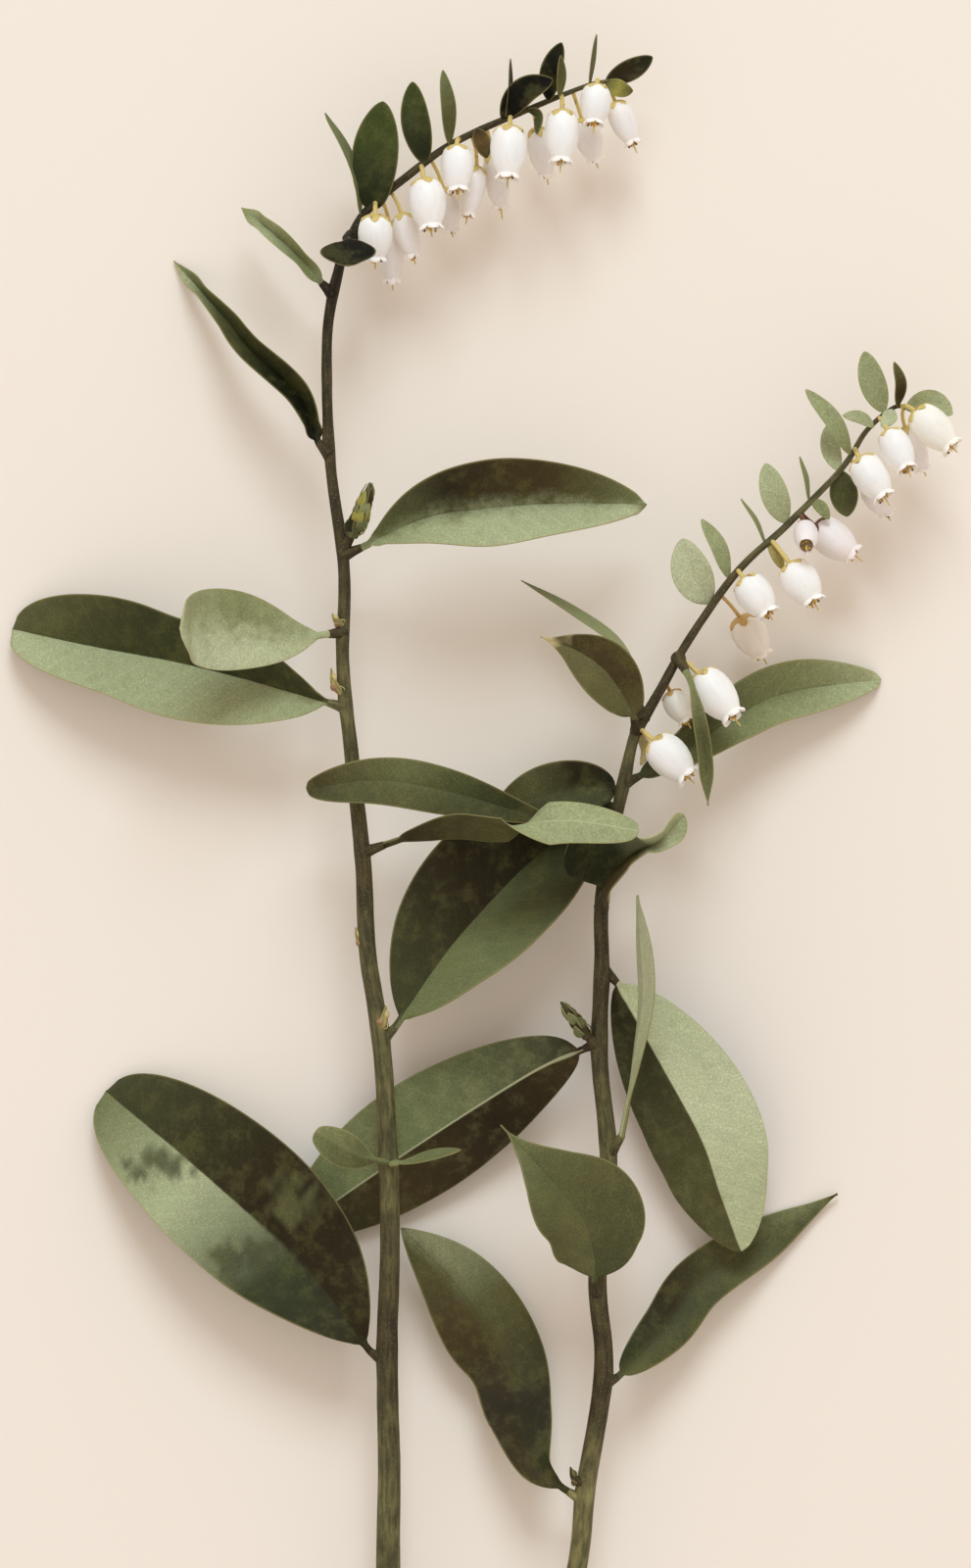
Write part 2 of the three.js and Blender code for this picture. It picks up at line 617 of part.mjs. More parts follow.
function spikeGeometry(spike, borne) {
  const spine = smooth(spike.axis);
  const axis = limb(spike.axis, spike.radii, 7);
  const bracts = spike.bracts.map((bract) =>
    leafGeometry({ ...BRACT, ...bract }, BRACT_CELLS, BRACT_THICK),
  );
  const pedicels = spike.flowers.map(flowerAt).map(({ top, mouth }) => {
    const end = at(top);
    const down = at(mouth).sub(end).normalize();
    const root = nearest(spine, end.clone().addScaledVector(down, -1.5));
    const stop = end.clone().addScaledVector(down, -CLEAR);
    const bend = root.clone().lerp(stop, 0.6).addScaledVector(down, -0.4);
    return limb([root, bend, stop].map((p) => p.toArray()), [PEDICEL_RADIUS, PEDICEL_RADIUS], 5, 3);
  });
  const pegs = borne.map(({ path }) => cushion(spine, path));
  return fused([axis, ...bracts, ...pedicels, ...pegs]);
}

// The spray.
const spray = new THREE.Group();
spray.name = "leatherleaf_spray";

function place(name, geometry, material) {
  const mesh = new THREE.Mesh(geometry, material);
  mesh.name = name;
  spray.add(mesh);
}

const onMain = [...Object.values(MAIN_LEAVES), BUDS.main_bud];
const onSide = [...Object.values(SIDE_LEAVES), BUDS.side_bud];
place("main_stem", stemGeometry(MAIN_STEM, onMain, SMALL_BUDS.main, [SIDE_STEM]), BARK);
place("side_stem", stemGeometry(SIDE_STEM, onSide, SMALL_BUDS.side), BARK);
for (const leaves of [MAIN_LEAVES, SIDE_LEAVES, MAIN_SPIKE_LEAVES, SIDE_SPIKE_LEAVES]) {
  for (const [name, leaf] of Object.entries(leaves)) {
    place(name, leafGeometry(leaf, leaf.cells), LEAF_GREEN);
  }
}
for (const [name, bud] of Object.entries(BUDS)) place(name, budGeometry(bud), BUD_GREEN);
place("main_flower_spike", spikeGeometry(MAIN_SPIKE, Object.values(MAIN_SPIKE_LEAVES)), SPIKE_GREEN);
place("side_flower_spike", spikeGeometry(SIDE_SPIKE, Object.values(SIDE_SPIKE_LEAVES)), SPIKE_GREEN);
for (const [name, spike] of Object.entries({ main: MAIN_SPIKE, side: SIDE_SPIKE })) {
  spike.flowers.forEach((flower, i) => {
    place(`${name}_flower_${i + 1}`, flowerGeometry(flowerAt(flower)), PETAL_WHITE);
  });
}

spray.position.set(-FOOTPRINT_MIDDLE[0], -FOOTPRINT_MIDDLE[1], 0);

export default spray;
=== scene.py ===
"""Leatherleaf: one cut, forked branch in flower, lying on a pale floor and seen from straight above.

The branch is laid out in millimetres on a sheet: x runs right, y runs up from a corner of the sheet and z is
the height above the floor. Every point is moved to the frame, in metres, as its mesh is made.
"""

import math
import random

import bpy
import numpy as np
from mathutils import Matrix, Vector, noise


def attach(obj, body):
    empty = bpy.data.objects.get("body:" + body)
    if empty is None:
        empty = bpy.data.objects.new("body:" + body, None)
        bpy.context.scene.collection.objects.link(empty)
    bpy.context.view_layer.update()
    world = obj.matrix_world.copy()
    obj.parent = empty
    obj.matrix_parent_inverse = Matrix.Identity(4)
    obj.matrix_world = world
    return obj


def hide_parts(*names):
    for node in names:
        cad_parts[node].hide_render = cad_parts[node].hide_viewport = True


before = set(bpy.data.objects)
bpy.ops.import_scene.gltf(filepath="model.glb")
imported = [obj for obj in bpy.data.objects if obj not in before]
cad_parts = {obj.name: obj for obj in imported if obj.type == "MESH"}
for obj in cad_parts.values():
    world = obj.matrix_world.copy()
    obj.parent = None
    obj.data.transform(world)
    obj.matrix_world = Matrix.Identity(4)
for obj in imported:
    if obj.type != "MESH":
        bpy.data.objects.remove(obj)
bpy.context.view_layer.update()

MM = 0.001
FOOTPRINT_MIDDLE = np.array([49.53, 59.16, 0.0])

# Leaf sizes, in millimetres. A leaf narrower than the full width is also thinner. A blade folds and swells
# only where it is wide enough: each pair is the half widths between which that sets in.
BLADE_THICK = 0.3
MARGIN_THICK = 0.14
MIDRIB_THICK = 0.34
MIDRIB_WIDE = 0.42
MIDRIB_GROOVE = 0.13
STALK_LONG = 2.2
STALK_WIDE = 0.72
STALK_THICK = 0.6
BLUNT_TIP = 0.08
MARGIN_ROUND = 0.045
UNDULATION = 0.22
UNDULATION_LONG = 7.0
FULL_WIDTH = 8.0
FOLD_HALF_WIDTHS = (0.3, 1.5)
SWELL_HALF_WIDTHS = (0.5, 3.0)
LEAF_CELLS = (22, 72)
BRACT_CELLS = (10, 26)
SCALE_CELLS = (6, 12)

# Stem sizes, in millimetres, of a stem, the axis of a spike, and the slim limbs, which are bud cores and
# flower stalks. A peg is the foot of a leaf's stalk, and flares by these shares from the stem to its end.
BARK_SIDES = 36
BARK_STEP = 0.3
AXIS_SIDES = 20
AXIS_STEP = 0.25
SLIM_SIDES = 12
SLIM_STEP = 0.15
BARK_RELIEF = 0.045
NODE_SWELL = 0.22
NODE_LONG = 1.6
PEG_RADIUS = 0.4
PEG_FLARE = (2.0, 1.35, 1.0)
PEG_OVERLAP = 0.3
PEG_SIDES = 14
PEG_STEP = 0.2
PEG_MIDDLE = 0.55
PEG_ARCH = 0.1
FORK_RADIUS = 0.85
FORK_SIDES = 28

# Flower sizes, in millimetres. The profiles of the urn and the calyx are shares of its radius and its length.
PETAL_THICK = 0.1
SEPAL_THICK = 0.09
PETAL_SIDES = 40
LOBES = 5
URN = [
    (0.42, 0.01), (0.70, 0.055), (0.87, 0.15), (0.97, 0.28), (1.00, 0.41), (0.97, 0.55), (0.89, 0.68),
    (0.76, 0.80), (0.64, 0.875), (0.57, 0.915), (0.59, 0.94), (0.64, 0.965), (0.70, 0.985),
]
URN_THROAT = 9
CALYX = [(0.28, -0.03), (0.45, -0.012), (0.62, 0.02), (0.76, 0.055), (0.835, 0.09), (0.885, 0.12)]
CALYX_THROAT = 1
ANTHERS = 6
ANTHER_LONG = 0.65
ANTHER_TIP = 0.25
ANTHER_RADIUS = 0.14
STYLE_RADIUS = 0.12
STALK_RADIUS_FRONT = 0.26
STALK_RADIUS_BACK = 0.2

# Plain colours, as sRGB. Every tone of the plant is named from here.
TONES = {
    "black": "#0f0e06",
    "near_black": "#1e210e",
    "dark_brown": "#2c2512",
    "brown": "#5a4420",
    "umber": "#463b20",
    "deep_green": "#33391d",
    "forest": "#3f481f",
    "dark_olive": "#45472a",
    "olive": "#595936",
    "moss": "#6d734b",
    "sage": "#82875b",
    "pale_sage": "#979d72",
    "silver_sage": "#a8ae85",
    "silver": "#b8bd98",
    "straw_green": "#a09358",
    "straw": "#cdbb86",
    "yellow_green": "#969045",
    "bark_black": "#241b0c",
    "bark_dark": "#40371c",
    "bark_olive": "#5f5a36",
    "bark_light": "#777146",
    "bud_pink": "#a9806a",
    "petal_white": "#fcf7ee",
    "petal_shade": "#f9efe5",
    "petal_pink": "#f7ebe4",
    "petal_peach": "#f8e9d6",
    "petal_cream": "#fbf4e3",
    "calyx_yellow": "#d2bb70",
    "calyx_orange": "#c8a05c",
    "calyx_brown": "#6a4527",
}


def along(value, share):
    """One number all along, or read from an evenly spaced list, at a share of the way."""
    if isinstance(value, (int, float)):
        return np.full_like(share, float(value))
    return np.interp(np.clip(share, 0, 1), np.linspace(0, 1, len(value)), value)


def mix(low, high, share):
    return low + (high - low) * share


def smoothstep(value, low, high):
    share = np.clip((value - low) / (high - low), 0, 1)
    return share * share * (3 - 2 * share)


def unit(vectors):
    return vectors / np.linalg.norm(vectors, axis=-1, keepdims=True)


class Spine:
    """A smooth curve through its points, read at a share of its length."""

    STEPS = 40
    NEAR = 0.01

    def __init__(self, points):
        p = np.array(points, float)
        p = np.vstack([2 * p[0] - p[1], p, 2 * p[-1] - p[-2]])
        t = np.linspace(0, 1, self.STEPS, endpoint=False)[:, None]
        runs = []
        for a, b, c, d in zip(p, p[1:], p[2:], p[3:]):
            bend = (2 * a - 5 * b + 4 * c - d) * t**2 + (-a + 3 * b - 3 * c + d) * t**3
            runs.append(0.5 * (2 * b + (c - a) * t + bend))
        self.points = np.vstack(runs + [p[-2:-1]])
        steps = np.linalg.norm(np.diff(self.points, axis=0), axis=1)
        self.reach = np.concatenate([[0], np.cumsum(steps)])
        self.length = self.reach[-1]

    def at(self, share):
        way = np.clip(share, 0, 1) * self.length
        return np.stack([np.interp(way, self.reach, self.points[:, i]) for i in range(3)], -1)

    def heading(self, share):
        share = np.asarray(share, float)
        return unit(self.at(np.minimum(share + self.NEAR, 1)) - self.at(np.maximum(share - self.NEAR, 0)))

    def place(self, share):
        return self.at(np.array([share]))[0]

    def nearest(self, point):
        return int(np.argmin(np.linalg.norm(self.points - np.asarray(point), axis=1)))


# How the parts of the plant are written down. Tones are names in one string, from foot to tip. A number that
# may change along a leaf is given once or as a list from base to tip. For a leaf:
#   `left`, `right`      tones of the two halves of the side that shows, alike unless `right` is given
#   `back`               tones of the other side, which is the underside unless the leaf is `turned`
#   `roll`, `fold`       degrees: a turn about the midrib, left side up, and how far both halves are lifted
#   `stalk`, `widest`    the stalk's length, and the share of the blade at which it is widest
#   `ends`               how drawn out the blade is, as a power: below 1 is blunt
#   `wave`               height, number and phase of the ripples along its edge
#   `waist`              draws one margin in: the side (1 is left), the share of the blade, how wide, how deep
#   `soft`, `rib`        how far the halves run into each other, and how much of the midrib's own colour shows
#   `patches`            soft ovals: a place on the sheet, half the width, half the height and a tone
# The tones of `left` and `right` are the leaf's own colour with painted light and shade: the half of a
# folded blade that faces the light at the top of the image is toned paler, as painted light, and the
# half turned away is toned darker, as painted shade.
PLAIN_LEAF = {
    "back": None,
    "turned": False,
    "roll": 0,
    "fold": 0,
    "stalk": STALK_LONG,
    "widest": 0.5,
    "ends": [0.85, 0.6],
    "wave": (0, 1, 0),
    "waist": (0, 0, 1, 0),
    "soft": 0.12,
    "rib": 1,
    "patches": [],
}
PLAIN_BRACT = {"stalk": 0, "fold": 14, "ends": [0.6, 0.6], "rib": 0}
CALYX_TONE = "calyx_yellow"

# A flower whose calyx is lower than this is in the back rank, on thinner stalks, with petals painted a little
# darker and pinker as painted shade under the front rank.
BACK_RANK_BELOW = 8.0


def new_leaf(path, width, left, right=None, **shape):
    """A leaf: its midrib from the foot of its stalk to its tip, its width, its tones and its shape."""
    return {**PLAIN_LEAF, "path": path, "width": width, "left": left, "right": right or left, **shape}


def new_bract(width, tones, *path, **shape):
    """A small leaf of a flower spike."""
    return new_leaf(path, width, tones, **{**PLAIN_BRACT, **shape})


def new_bud(path, wide, scales=4, tones="straw bud_pink straw_green", core="straw_green"):
    """A shoot bud, from foot to tip, with how thick it is and its number of scales."""
    return {"path": path, "wide": wide, "scales": scales, "tones": tones.split(), "core": core}


def new_flower(top, mouth, girth, high, **looks):
    """A flower: the places of its calyx and mouth, its girth, the heights of both, and its own looks."""
    back = high[0] < BACK_RANK_BELOW
    plain = {"petal": "petal_shade" if back else "petal_white", "calyx": CALYX_TONE, "brown_anthers": False}
    ends = {"top": np.array([*top, high[0]]), "mouth": np.array([*mouth, high[1]])}
    return {**plain, **ends, "radius": girth / 2, "back": back, **looks}


# The two stems. The main one runs from the cut into the axis of its flower spike, and the side one leaves it
# above the cut, bends upwards and ends in the axis of its own spike. Radii and tones run from foot to top.
MAIN_STEM = {
    "path": [
        (40.6, -38.0, 1.5), (40.0, -30.0, 2.6), (39.6, -14.0, 4.3), (39.6, 0.5, 5.5), (39.7, 10.2, 6.2),
        (39.5, 21.7, 6.9), (39.8, 34.0, 7.6), (39.4, 47.0, 8.3), (38.8, 54.5, 8.6), (37.5, 63.0, 8.8),
        (37.1, 71.5, 8.9), (36.0, 82.0, 9.0), (35.0, 92.0, 8.9), (35.1, 102.0, 8.7), (33.7, 113.0, 8.5),
        (33.4, 125.5, 8.2), (34.6, 132.6, 8.0), (35.0, 133.6, 8.0),
    ],
    "radii": [1.45, 1.35, 1.2, 1.05, 0.95, 0.85, 0.68, 0.55, 0.5],
    "tones": "bark_olive bark_olive bark_olive bark_olive bark_dark bark_olive bark_olive bark_dark "
    "bark_olive bark_dark bark_dark bark_black",
}
SIDE_STEM = {
    "path": [
        (42.5, -28.0, 2.7), (46.6, -24.6, 3.2), (52.0, -18.2, 4.0), (56.6, -9.0, 4.9), (59.0, 0.5, 5.7),
        (59.8, 8.1, 6.3), (61.6, 20.0, 7.2), (61.0, 29.5, 7.8), (62.1, 41.0, 8.3), (61.2, 52.0, 8.7),
        (61.4, 61.0, 8.9), (61.5, 69.0, 9.0), (63.5, 79.5, 9.0), (64.5, 84.0, 9.0), (64.9, 85.3, 9.0),
    ],
    "radii": [1.05, 1.05, 1.02, 0.98, 0.9, 0.85, 0.72, 0.54],
    "tones": "bark_olive bark_olive bark_olive bark_olive bark_light bark_dark bark_dark bark_light "
    "bark_olive bark_dark bark_dark bark_dark bark_olive",
}

# The leaves of the two stems, and those at the foot of each flower spike. Their half tones hold painted light
# and shade.
MAIN_LEAVES = {
    "main_leaf_low_left": new_leaf(
        [(37.9, 21.9, 7.2), (30.4, 31.2, 5.2), (20.3, 40.4, 2.4), (10.6, 48.5, 0.8)], 16.1,
        "dark_brown deep_green silver_sage moss", "dark_brown dark_brown dark_olive", stalk=1.2, roll=7,
        fold=18, widest=0.53, ends=[0.58, 0.4], wave=[0.5, 1.5, 0.3], soft=[1.6, 0.12, 0.12],
        # These patches are painted shade, darkening the pale half where its wrinkles fall into shade.
        patches=[
            (16.4, 40.9, 3.8, 1.9, "dark_olive"), (25.2, 31.6, 4.2, 3.0, "dark_olive"),
            (30.0, 37.4, 3.2, 2.8, "olive"),
        ],
    ),
    "main_leaf_front_left": new_leaf(
        [(39.6, 41.4, 9.6), (36.4, 42.2, 12.2), (32.2, 44.6, 15.0)], 3.8, "olive olive moss",
        "moss moss sage", fold=15, stalk=0.8, widest=0.62, ends=[0.9, 0.35], rib=0, turned=True,
    ),
    "main_leaf_front_right": new_leaf(
        [(39.9, 41.3, 9.6), (43.4, 41.9, 12.0), (47.0, 42.8, 13.6)], 3.0, "sage moss moss", roll=-70, fold=8,
        stalk=0.8,
    ),
    "main_leaf_big": new_leaf(
        [(40.2, 55.0, 8.9), (46.1, 63.4, 6.6), (53.0, 70.9, 4.4), (58.5, 75.3, 3.4), (63.0, 77.6, 2.8)], 16.4,
        "dark_olive dark_brown near_black", "moss moss dark_olive near_black", stalk=1.5, roll=-15, fold=27,
        ends=[0.65, 0.6],
    ),
    "main_leaf_twisted": new_leaf(
        [
            (39.0, 73.7, 9.7), (43.0, 75.0, 12.0), (47.0, 75.8, 13.6), (52.0, 75.6, 14.6), (58.0, 76.2, 15.5),
            (65.1, 75.2, 16.3),
        ],
        5.6, "dark_brown olive umber", roll=[50, 56, 58, 64, 145, 152, 155], fold=5, ends=[0.55, 0.35],
        back="pale_sage",
    ),
    "main_leaf_left": new_leaf(
        [(33.8, 88.2, 8.8), (25.4, 90.6, 6.4), (17.7, 92.5, 3.9), (9.0, 94.1, 1.75), (1.0, 95.8, 0.8)], 13.2,
        "pale_sage silver_sage", "dark_olive deep_green dark_olive olive", stalk=0.8, roll=[-16, -4, 8, 18],
        fold=[32, 30, 34, 28], widest=0.54, ends=[0.45, 0.4], wave=[0.5, 1.6, 0.15],
        waist=[-1, 0.46, 0.13, 0.25],
    ),
    "main_leaf_left_front": new_leaf(
        [(33.8, 95.3, 10.0), (29.4, 94.9, 11.0), (24.0, 95.6, 12.6), (19.8, 95.8, 16.4), (18.7, 95.8, 21.6)],
        8.4, "silver_sage silver silver", "pale_sage sage silver_sage", stalk=1.0, fold=8, widest=0.55,
        ends=[0.75, 0.4], rib=0, soft=2.5, turned=True,
    ),
    "main_leaf_right": new_leaf(
        [
            (36.7, 104.0, 9.4), (43.5, 107.1, 10.4), (50.3, 108.1, 10.4), (58.0, 108.6, 9.6),
            (66.0, 108.5, 8.4),
        ],
        10.9, "moss dark_brown umber moss", "pale_sage silver_sage silver_sage", stalk=1.2, roll=-10, fold=37,
        ends=[0.75, 0.75], soft=[0.8, 2.2, 2.0, 0.8], wave=[0.35, 1.5, 0.2],
    ),
    "main_leaf_narrow": new_leaf(
        [(32.6, 114.6, 8.3), (30.4, 119.8, 6.8), (25.4, 124.5, 4.6), (22.7, 127.9, 2.9), (17.6, 133.6, 0.3)],
        5.8, "black near_black olive silver_sage", "near_black dark_olive moss", fold=[58, 66], stalk=0.6,
        widest=0.38, ends=[0.75, 0.9],
    ),
    "main_leaf_small": new_leaf(
        [(33.0, 130.9, 8.2), (31.0, 133.3, 7.4), (28.1, 136.1, 6.2), (24.6, 138.9, 4.8)], 3.6,
        "moss sage silver_sage sage", fold=60, stalk=0.4, ends=[0.6, 0.9], rib=0.3,
    ),
}
SIDE_LEAVES = {
    "side_leaf_between": new_leaf(
        [
            (58.2, 7.6, 6.6), (54.6, 10.2, 5.4), (52.9, 15.5, 3.9), (51.0, 21.5, 2.7), (46.6, 28.6, 2.9),
            (40.9, 34.6, 4.4),
        ],
        9.4, "umber dark_brown umber olive", "deep_green dark_brown olive silver_sage", widest=0.57,
        stalk=1.0, roll=10, fold=8, ends=[0.55, 0.8], wave=[0.5, 1.2, 0.2], soft=1.5,
        waist=[1, 0.42, 0.1, 0.18],
    ),
    "side_leaf_low_right": new_leaf(
        [(62.9, 19.3, 7.2), (68.0, 24.4, 4.4), (71.5, 28.9, 2.6), (78.6, 33.6, 0.7), (85.7, 37.9, 0.5)], 6.0,
        "deep_green dark_brown olive sage", "olive dark_olive olive dark_olive", stalk=0.8, roll=[0, -18],
        fold=[8, 22], widest=0.45, ends=[0.5, 1.1], wave=[0.5, 1.8, 0.4], soft=1.0,
    ),
    "side_leaf_low_front": new_leaf(
        [(60.7, 29.2, 9.6), (60.6, 32.2, 10.0), (59.3, 36.0, 10.8), (55.8, 40.2, 11.8), (51.1, 45.3, 12.6)],
        12.8, "olive olive moss", "dark_olive olive moss", roll=[0, 8, 14, 10], fold=[4, 14, 26, 20],
        stalk=0.5, widest=0.34, ends=[1.1, 1.9], waist=[1, 0.3, 0.2, 0.3],
    ),
    "side_leaf_narrow": new_leaf(
        [(63.4, 43.9, 9.6), (64.7, 51.1, 12.6), (65.7, 58.8, 14.0), (65.0, 68.7, 13.6)], 6.2, "moss",
        roll=104, fold=4, stalk=3.0, widest=0.62, ends=[0.7, 1.0],
        back="silver_sage silver_sage silver silver",
    ),
    "side_leaf_behind": new_leaf(
        [(59.9, 53.1, 8.0), (54.0, 50.4, 7.0), (41.7, 42.5, 5.0), (35.0, 37.9, 3.4), (29.5, 34.0, 1.7)], 13.0,
        "umber dark_brown umber dark_olive", "dark_brown moss moss", stalk=1.0, roll=-8, fold=[-23, -23, -16],
        widest=0.52, ends=[0.5, 0.6], turned=True,
    ),
    "side_leaf_big_right": new_leaf(
        [(62.8, 60.0, 8.7), (66.3, 53.7, 8.4), (71.5, 44.1, 7.4), (73.5, 38.5, 6.2), (75.8, 32.3, 4.6)], 13.8,
        "silver_sage silver silver_sage", "dark_brown dark_olive olive olive", roll=[13, 13, 8],
        fold=[-30, -30, -20], stalk=0.6, widest=0.52, ends=[0.55, 0.58], turned=True,
    ),
    "side_leaf_front": new_leaf(
        [(61.6, 69.0, 10.7), (62.2, 70.6, 11.4), (64.3, 72.6, 11.7), (66.9, 74.1, 12.2), (69.7, 76.9, 12.8)],
        12.4, "near_black deep_green silver_sage pale_sage", "umber umber umber silver_sage pale_sage",
        roll=[-42, -42, -42, -5, 40, 35], fold=[38, 38, 40, 75, 40, 20], stalk=0.6, widest=0.28,
        ends=[0.4, 1.6, 0.6], waist=[-1, 0.68, 0.14, 0.45], back="pale_sage",
    ),
    "side_leaf_long_left": new_leaf(
        [(60.9, 75.2, 9.6), (57.0, 76.0, 9.7), (46.0, 79.2, 10.9), (38.6, 80.4, 11.9), (31.3, 79.5, 12.6)],
        5.4, "umber dark_olive olive dark_olive", "dark_brown dark_olive moss umber", roll=-8, fold=18,
        widest=0.62, ends=[0.8, 0.4], soft=1.4,
    ),
    "side_leaf_behind_top": new_leaf(
        [(63.0, 79.4, 7.8), (58.6, 79.6, 7.5), (50.6, 77.4, 7.3)], 6.2, "dark_olive dark_olive umber",
        "near_black dark_brown olive umber", fold=10, stalk=0.2, ends=[0.4, 0.6], soft=1.0,
    ),
    "side_leaf_right": new_leaf(
        [(64.9, 80.6, 8.4), (69.5, 83.2, 6.4), (74.9, 86.7, 4.4), (80.6, 89.4, 2.4), (90.1, 90.7, 0.3)], 7.4,
        "deep_green dark_olive sage silver_sage", "dark_olive sage silver_sage", stalk=0.6, roll=-5, fold=36,
        widest=0.58, ends=[0.45, 0.6], soft=1.2,
    ),
}
MAIN_SPIKE_LEAVES = {
    "main_leaf_under_spike": new_leaf(
        [(35.3, 135.7, 9.3), (35.5, 135.1, 11.4), (35.6, 132.7, 14.4)], 5.8, "black", fold=12, stalk=0.5,
        widest=0.72, ends=[0.8, 0.45], back="black",
    ),
}
SIDE_SPIKE_LEAVES = {
    "side_leaf_dark": new_leaf(
        [(64.8, 86.5, 10.3), (63.8, 88.6, 11.2), (61.7, 91.6, 12.2), (58.6, 93.7, 12.4), (55.1, 95.0, 12.2)],
        6.2, "olive bark_olive bark_olive", "bark_olive umber umber near_black", fold=18, stalk=0.6,
        widest=0.42, ends=[0.6, 1.6],
        patches=[(55.2, 95.0, 3.2, 1.5, "straw")],
    ),
    "side_leaf_thin": new_leaf(
        [(65.2, 88.0, 8.2), (65.0, 90.8, 7.8), (62.8, 94.6, 7.2), (58.4, 97.8, 6.6), (53.2, 100.8, 6.0)], 3.0,
        "silver_sage sage moss", roll=68, stalk=0.8, ends=[0.8, 0.9], back="sage",
    ),
    "side_leaf_hanging": new_leaf(
        [(69.9, 91.6, 11.0), (70.5, 90.2, 13.0), (71.3, 86.6, 14.2), (71.9, 82.6, 14.0), (72.2, 77.8, 12.6)],
        2.0, "sage olive moss", fold=66, stalk=0.6, widest=0.6, ends=[0.8, 1.2],
    ),
}

# Shoot buds in the angles of leaves: two that are pieces of their own, and small ones that belong to a stem.
BUDS = {
    # Its near_black and dark_brown scales are painted shade, standing for the dark gaps between its scales.
    "main_bud": new_bud(
        [(35.9, 105.3, 9.6), (36.9, 107.6, 10.5), (37.8, 110.7, 11.0)], 2.2, 19,
        "yellow_green near_black yellow_green moss dark_brown sage", "olive",
    ),
    # Its paler scales are painted highlights.
    "side_bud": new_bud(
        [(60.0, 54.2, 9.8), (58.6, 56.0, 10.2), (57.2, 57.8, 10.2)], 1.8, 11,
        "dark_olive moss deep_green olive sage", "bark_dark",
    ),
}
SMALL_BUDS = {
    "main_stem": [
        new_bud([(35.0, 96.2, 9.2), (34.3, 96.7, 9.5), (33.9, 97.4, 9.6)], 1.1),
        new_bud([(34.9, 89.2, 9.2), (34.1, 90.3, 9.5), (33.8, 91.8, 9.6)], 1.2),
        new_bud([(37.3, 63.2, 8.8), (36.6, 64.2, 8.9), (36.3, 65.4, 9.0)], 1.0),
        new_bud([(38.8, 55.0, 9.1), (39.2, 56.0, 9.5), (39.4, 57.4, 9.7)], 1.3),
    ],
    "side_stem": [
        new_bud(
            [(59.4, 8.4, 6.8), (58.6, 9.2, 7.2), (58.2, 10.3, 7.4)], 1.3,
            tones="umber olive", core="bark_dark",
        ),
    ],
}

# The flower spikes: an axis, the small leaves that stand on it, and the flowers that hang from it in two
# ranks. The back rank hangs lower. The two numbers of a rank are the heights of a flower's calyx and mouth.
FRONT = (10.0, 11.0)
BACK = (5.4, 4.2)
MAIN_SPIKE = {
    "axis": [
        (34.9, 133.4, 8.0), (37.2, 138.2, 7.9), (42.3, 142.6, 7.8), (46.6, 145.6, 7.7), (52.6, 148.3, 7.6),
        (59.4, 151.1, 7.4), (62.2, 151.8, 7.2),
    ],
    "radii": [0.48, 0.42, 0.34, 0.22],
    "tones": "bark_black bark_dark bark_dark bark_olive",
    "bracts": [
        new_bract(3.2, "moss", (36.9, 138.0, 8), (35.9, 142.6, 9.5), (33.2, 148.4, 10), roll=72),
        new_bract(
            4.9, "near_black deep_green forest forest", (38.0, 138.6, 8), (38.3, 144.0, 9),
            (39.1, 149.6, 9.4), ends=[0.42, 0.6],
        ),
        new_bract(
            3.1, "near_black deep_green forest", (43.4, 143.2, 8), (42.4, 147.6, 9), (42.1, 151.6, 9.4),
        ),
        new_bract(1.9, "olive olive moss", (45.9, 145.2, 8), (45.7, 149.2, 9), (45.2, 152.8, 9), roll=35),
        new_bract(1.8, "dark_brown", (51.7, 147.9, 8), (52.0, 151.0, 9), (52.1, 153.9, 10), roll=76),
        new_bract(2.9, "black", (51.2, 147.8, 8), (53.4, 150.6, 9.4), (56.4, 151.8, 10)),
        new_bract(2.3, "black black near_black", (56.0, 149.7, 8), (56.2, 152.6, 9), (57.3, 155.6, 9.4)),
        new_bract(
            1.1, "moss olive dark_olive", (57.1, 150.1, 8), (57.3, 152.2, 9.8), (57.2, 154.2, 11), roll=25,
        ),
        new_bract(1.2, "dark_olive", (53.8, 148.8, 7.6), (54.9, 148.2, 9), (54.8, 146.2, 10), roll=35),
        new_bract(1.6, "olive", (60.2, 151.3, 7.4), (60.5, 154.0, 8), (60.9, 156.5, 8), roll=72),
        new_bract(
            2.3, "dark_brown dark_brown near_black", (61.8, 151.7, 7.2), (64.6, 153.0, 7.6), (66.6, 154.2, 8),
        ),
        new_bract(1.8, "olive yellow_green umber", (61.8, 151.7, 7.2), (63.4, 150.9, 8), (64.6, 150.7, 8)),
        new_bract(
            1.8, "dark_brown brown dark_brown", (48.6, 146.9, 8.0), (49.2, 145.5, 8.9), (49.7, 143.8, 9.2),
        ),
    ],
    "flowers": [
        new_flower((38.3, 138.0), (38.3, 133.4), 3.5, (9.6, 9.2)),
        new_flower((39.7, 137.4), (40.0, 131.4), 2.8, (5.0, 3.8)),
        new_flower((41.0, 138.2), (42.2, 133.8), 2.6, (7.2, 7.2)),
        new_flower((43.3, 141.6), (44.0, 136.5), 3.9, FRONT),
        new_flower((45.3, 140.8), (46.1, 136.6), 2.6, BACK),
        new_flower((46.6, 145.0), (46.8, 140.4), 3.3, FRONT),
        new_flower((48.7, 143.0), (47.7, 138.0), 2.6, (6.4, 7.0)),
        new_flower((50.3, 144.4), (51.1, 139.0), 2.6, BACK),
        new_flower((52.0, 147.0), (51.8, 141.7), 3.7, FRONT),
        new_flower((54.8, 147.0), (55.8, 142.2), 2.8, BACK),
        new_flower((57.4, 148.6), (57.2, 143.3), 3.7, FRONT),
        new_flower((59.4, 148.0), (60.8, 143.8), 2.8, BACK),
        new_flower((60.9, 151.2), (60.6, 147.2), 3.3, FRONT),
        new_flower((62.8, 149.6), (64.6, 145.4), 2.7, (7.0, 7.2)),
    ],
}
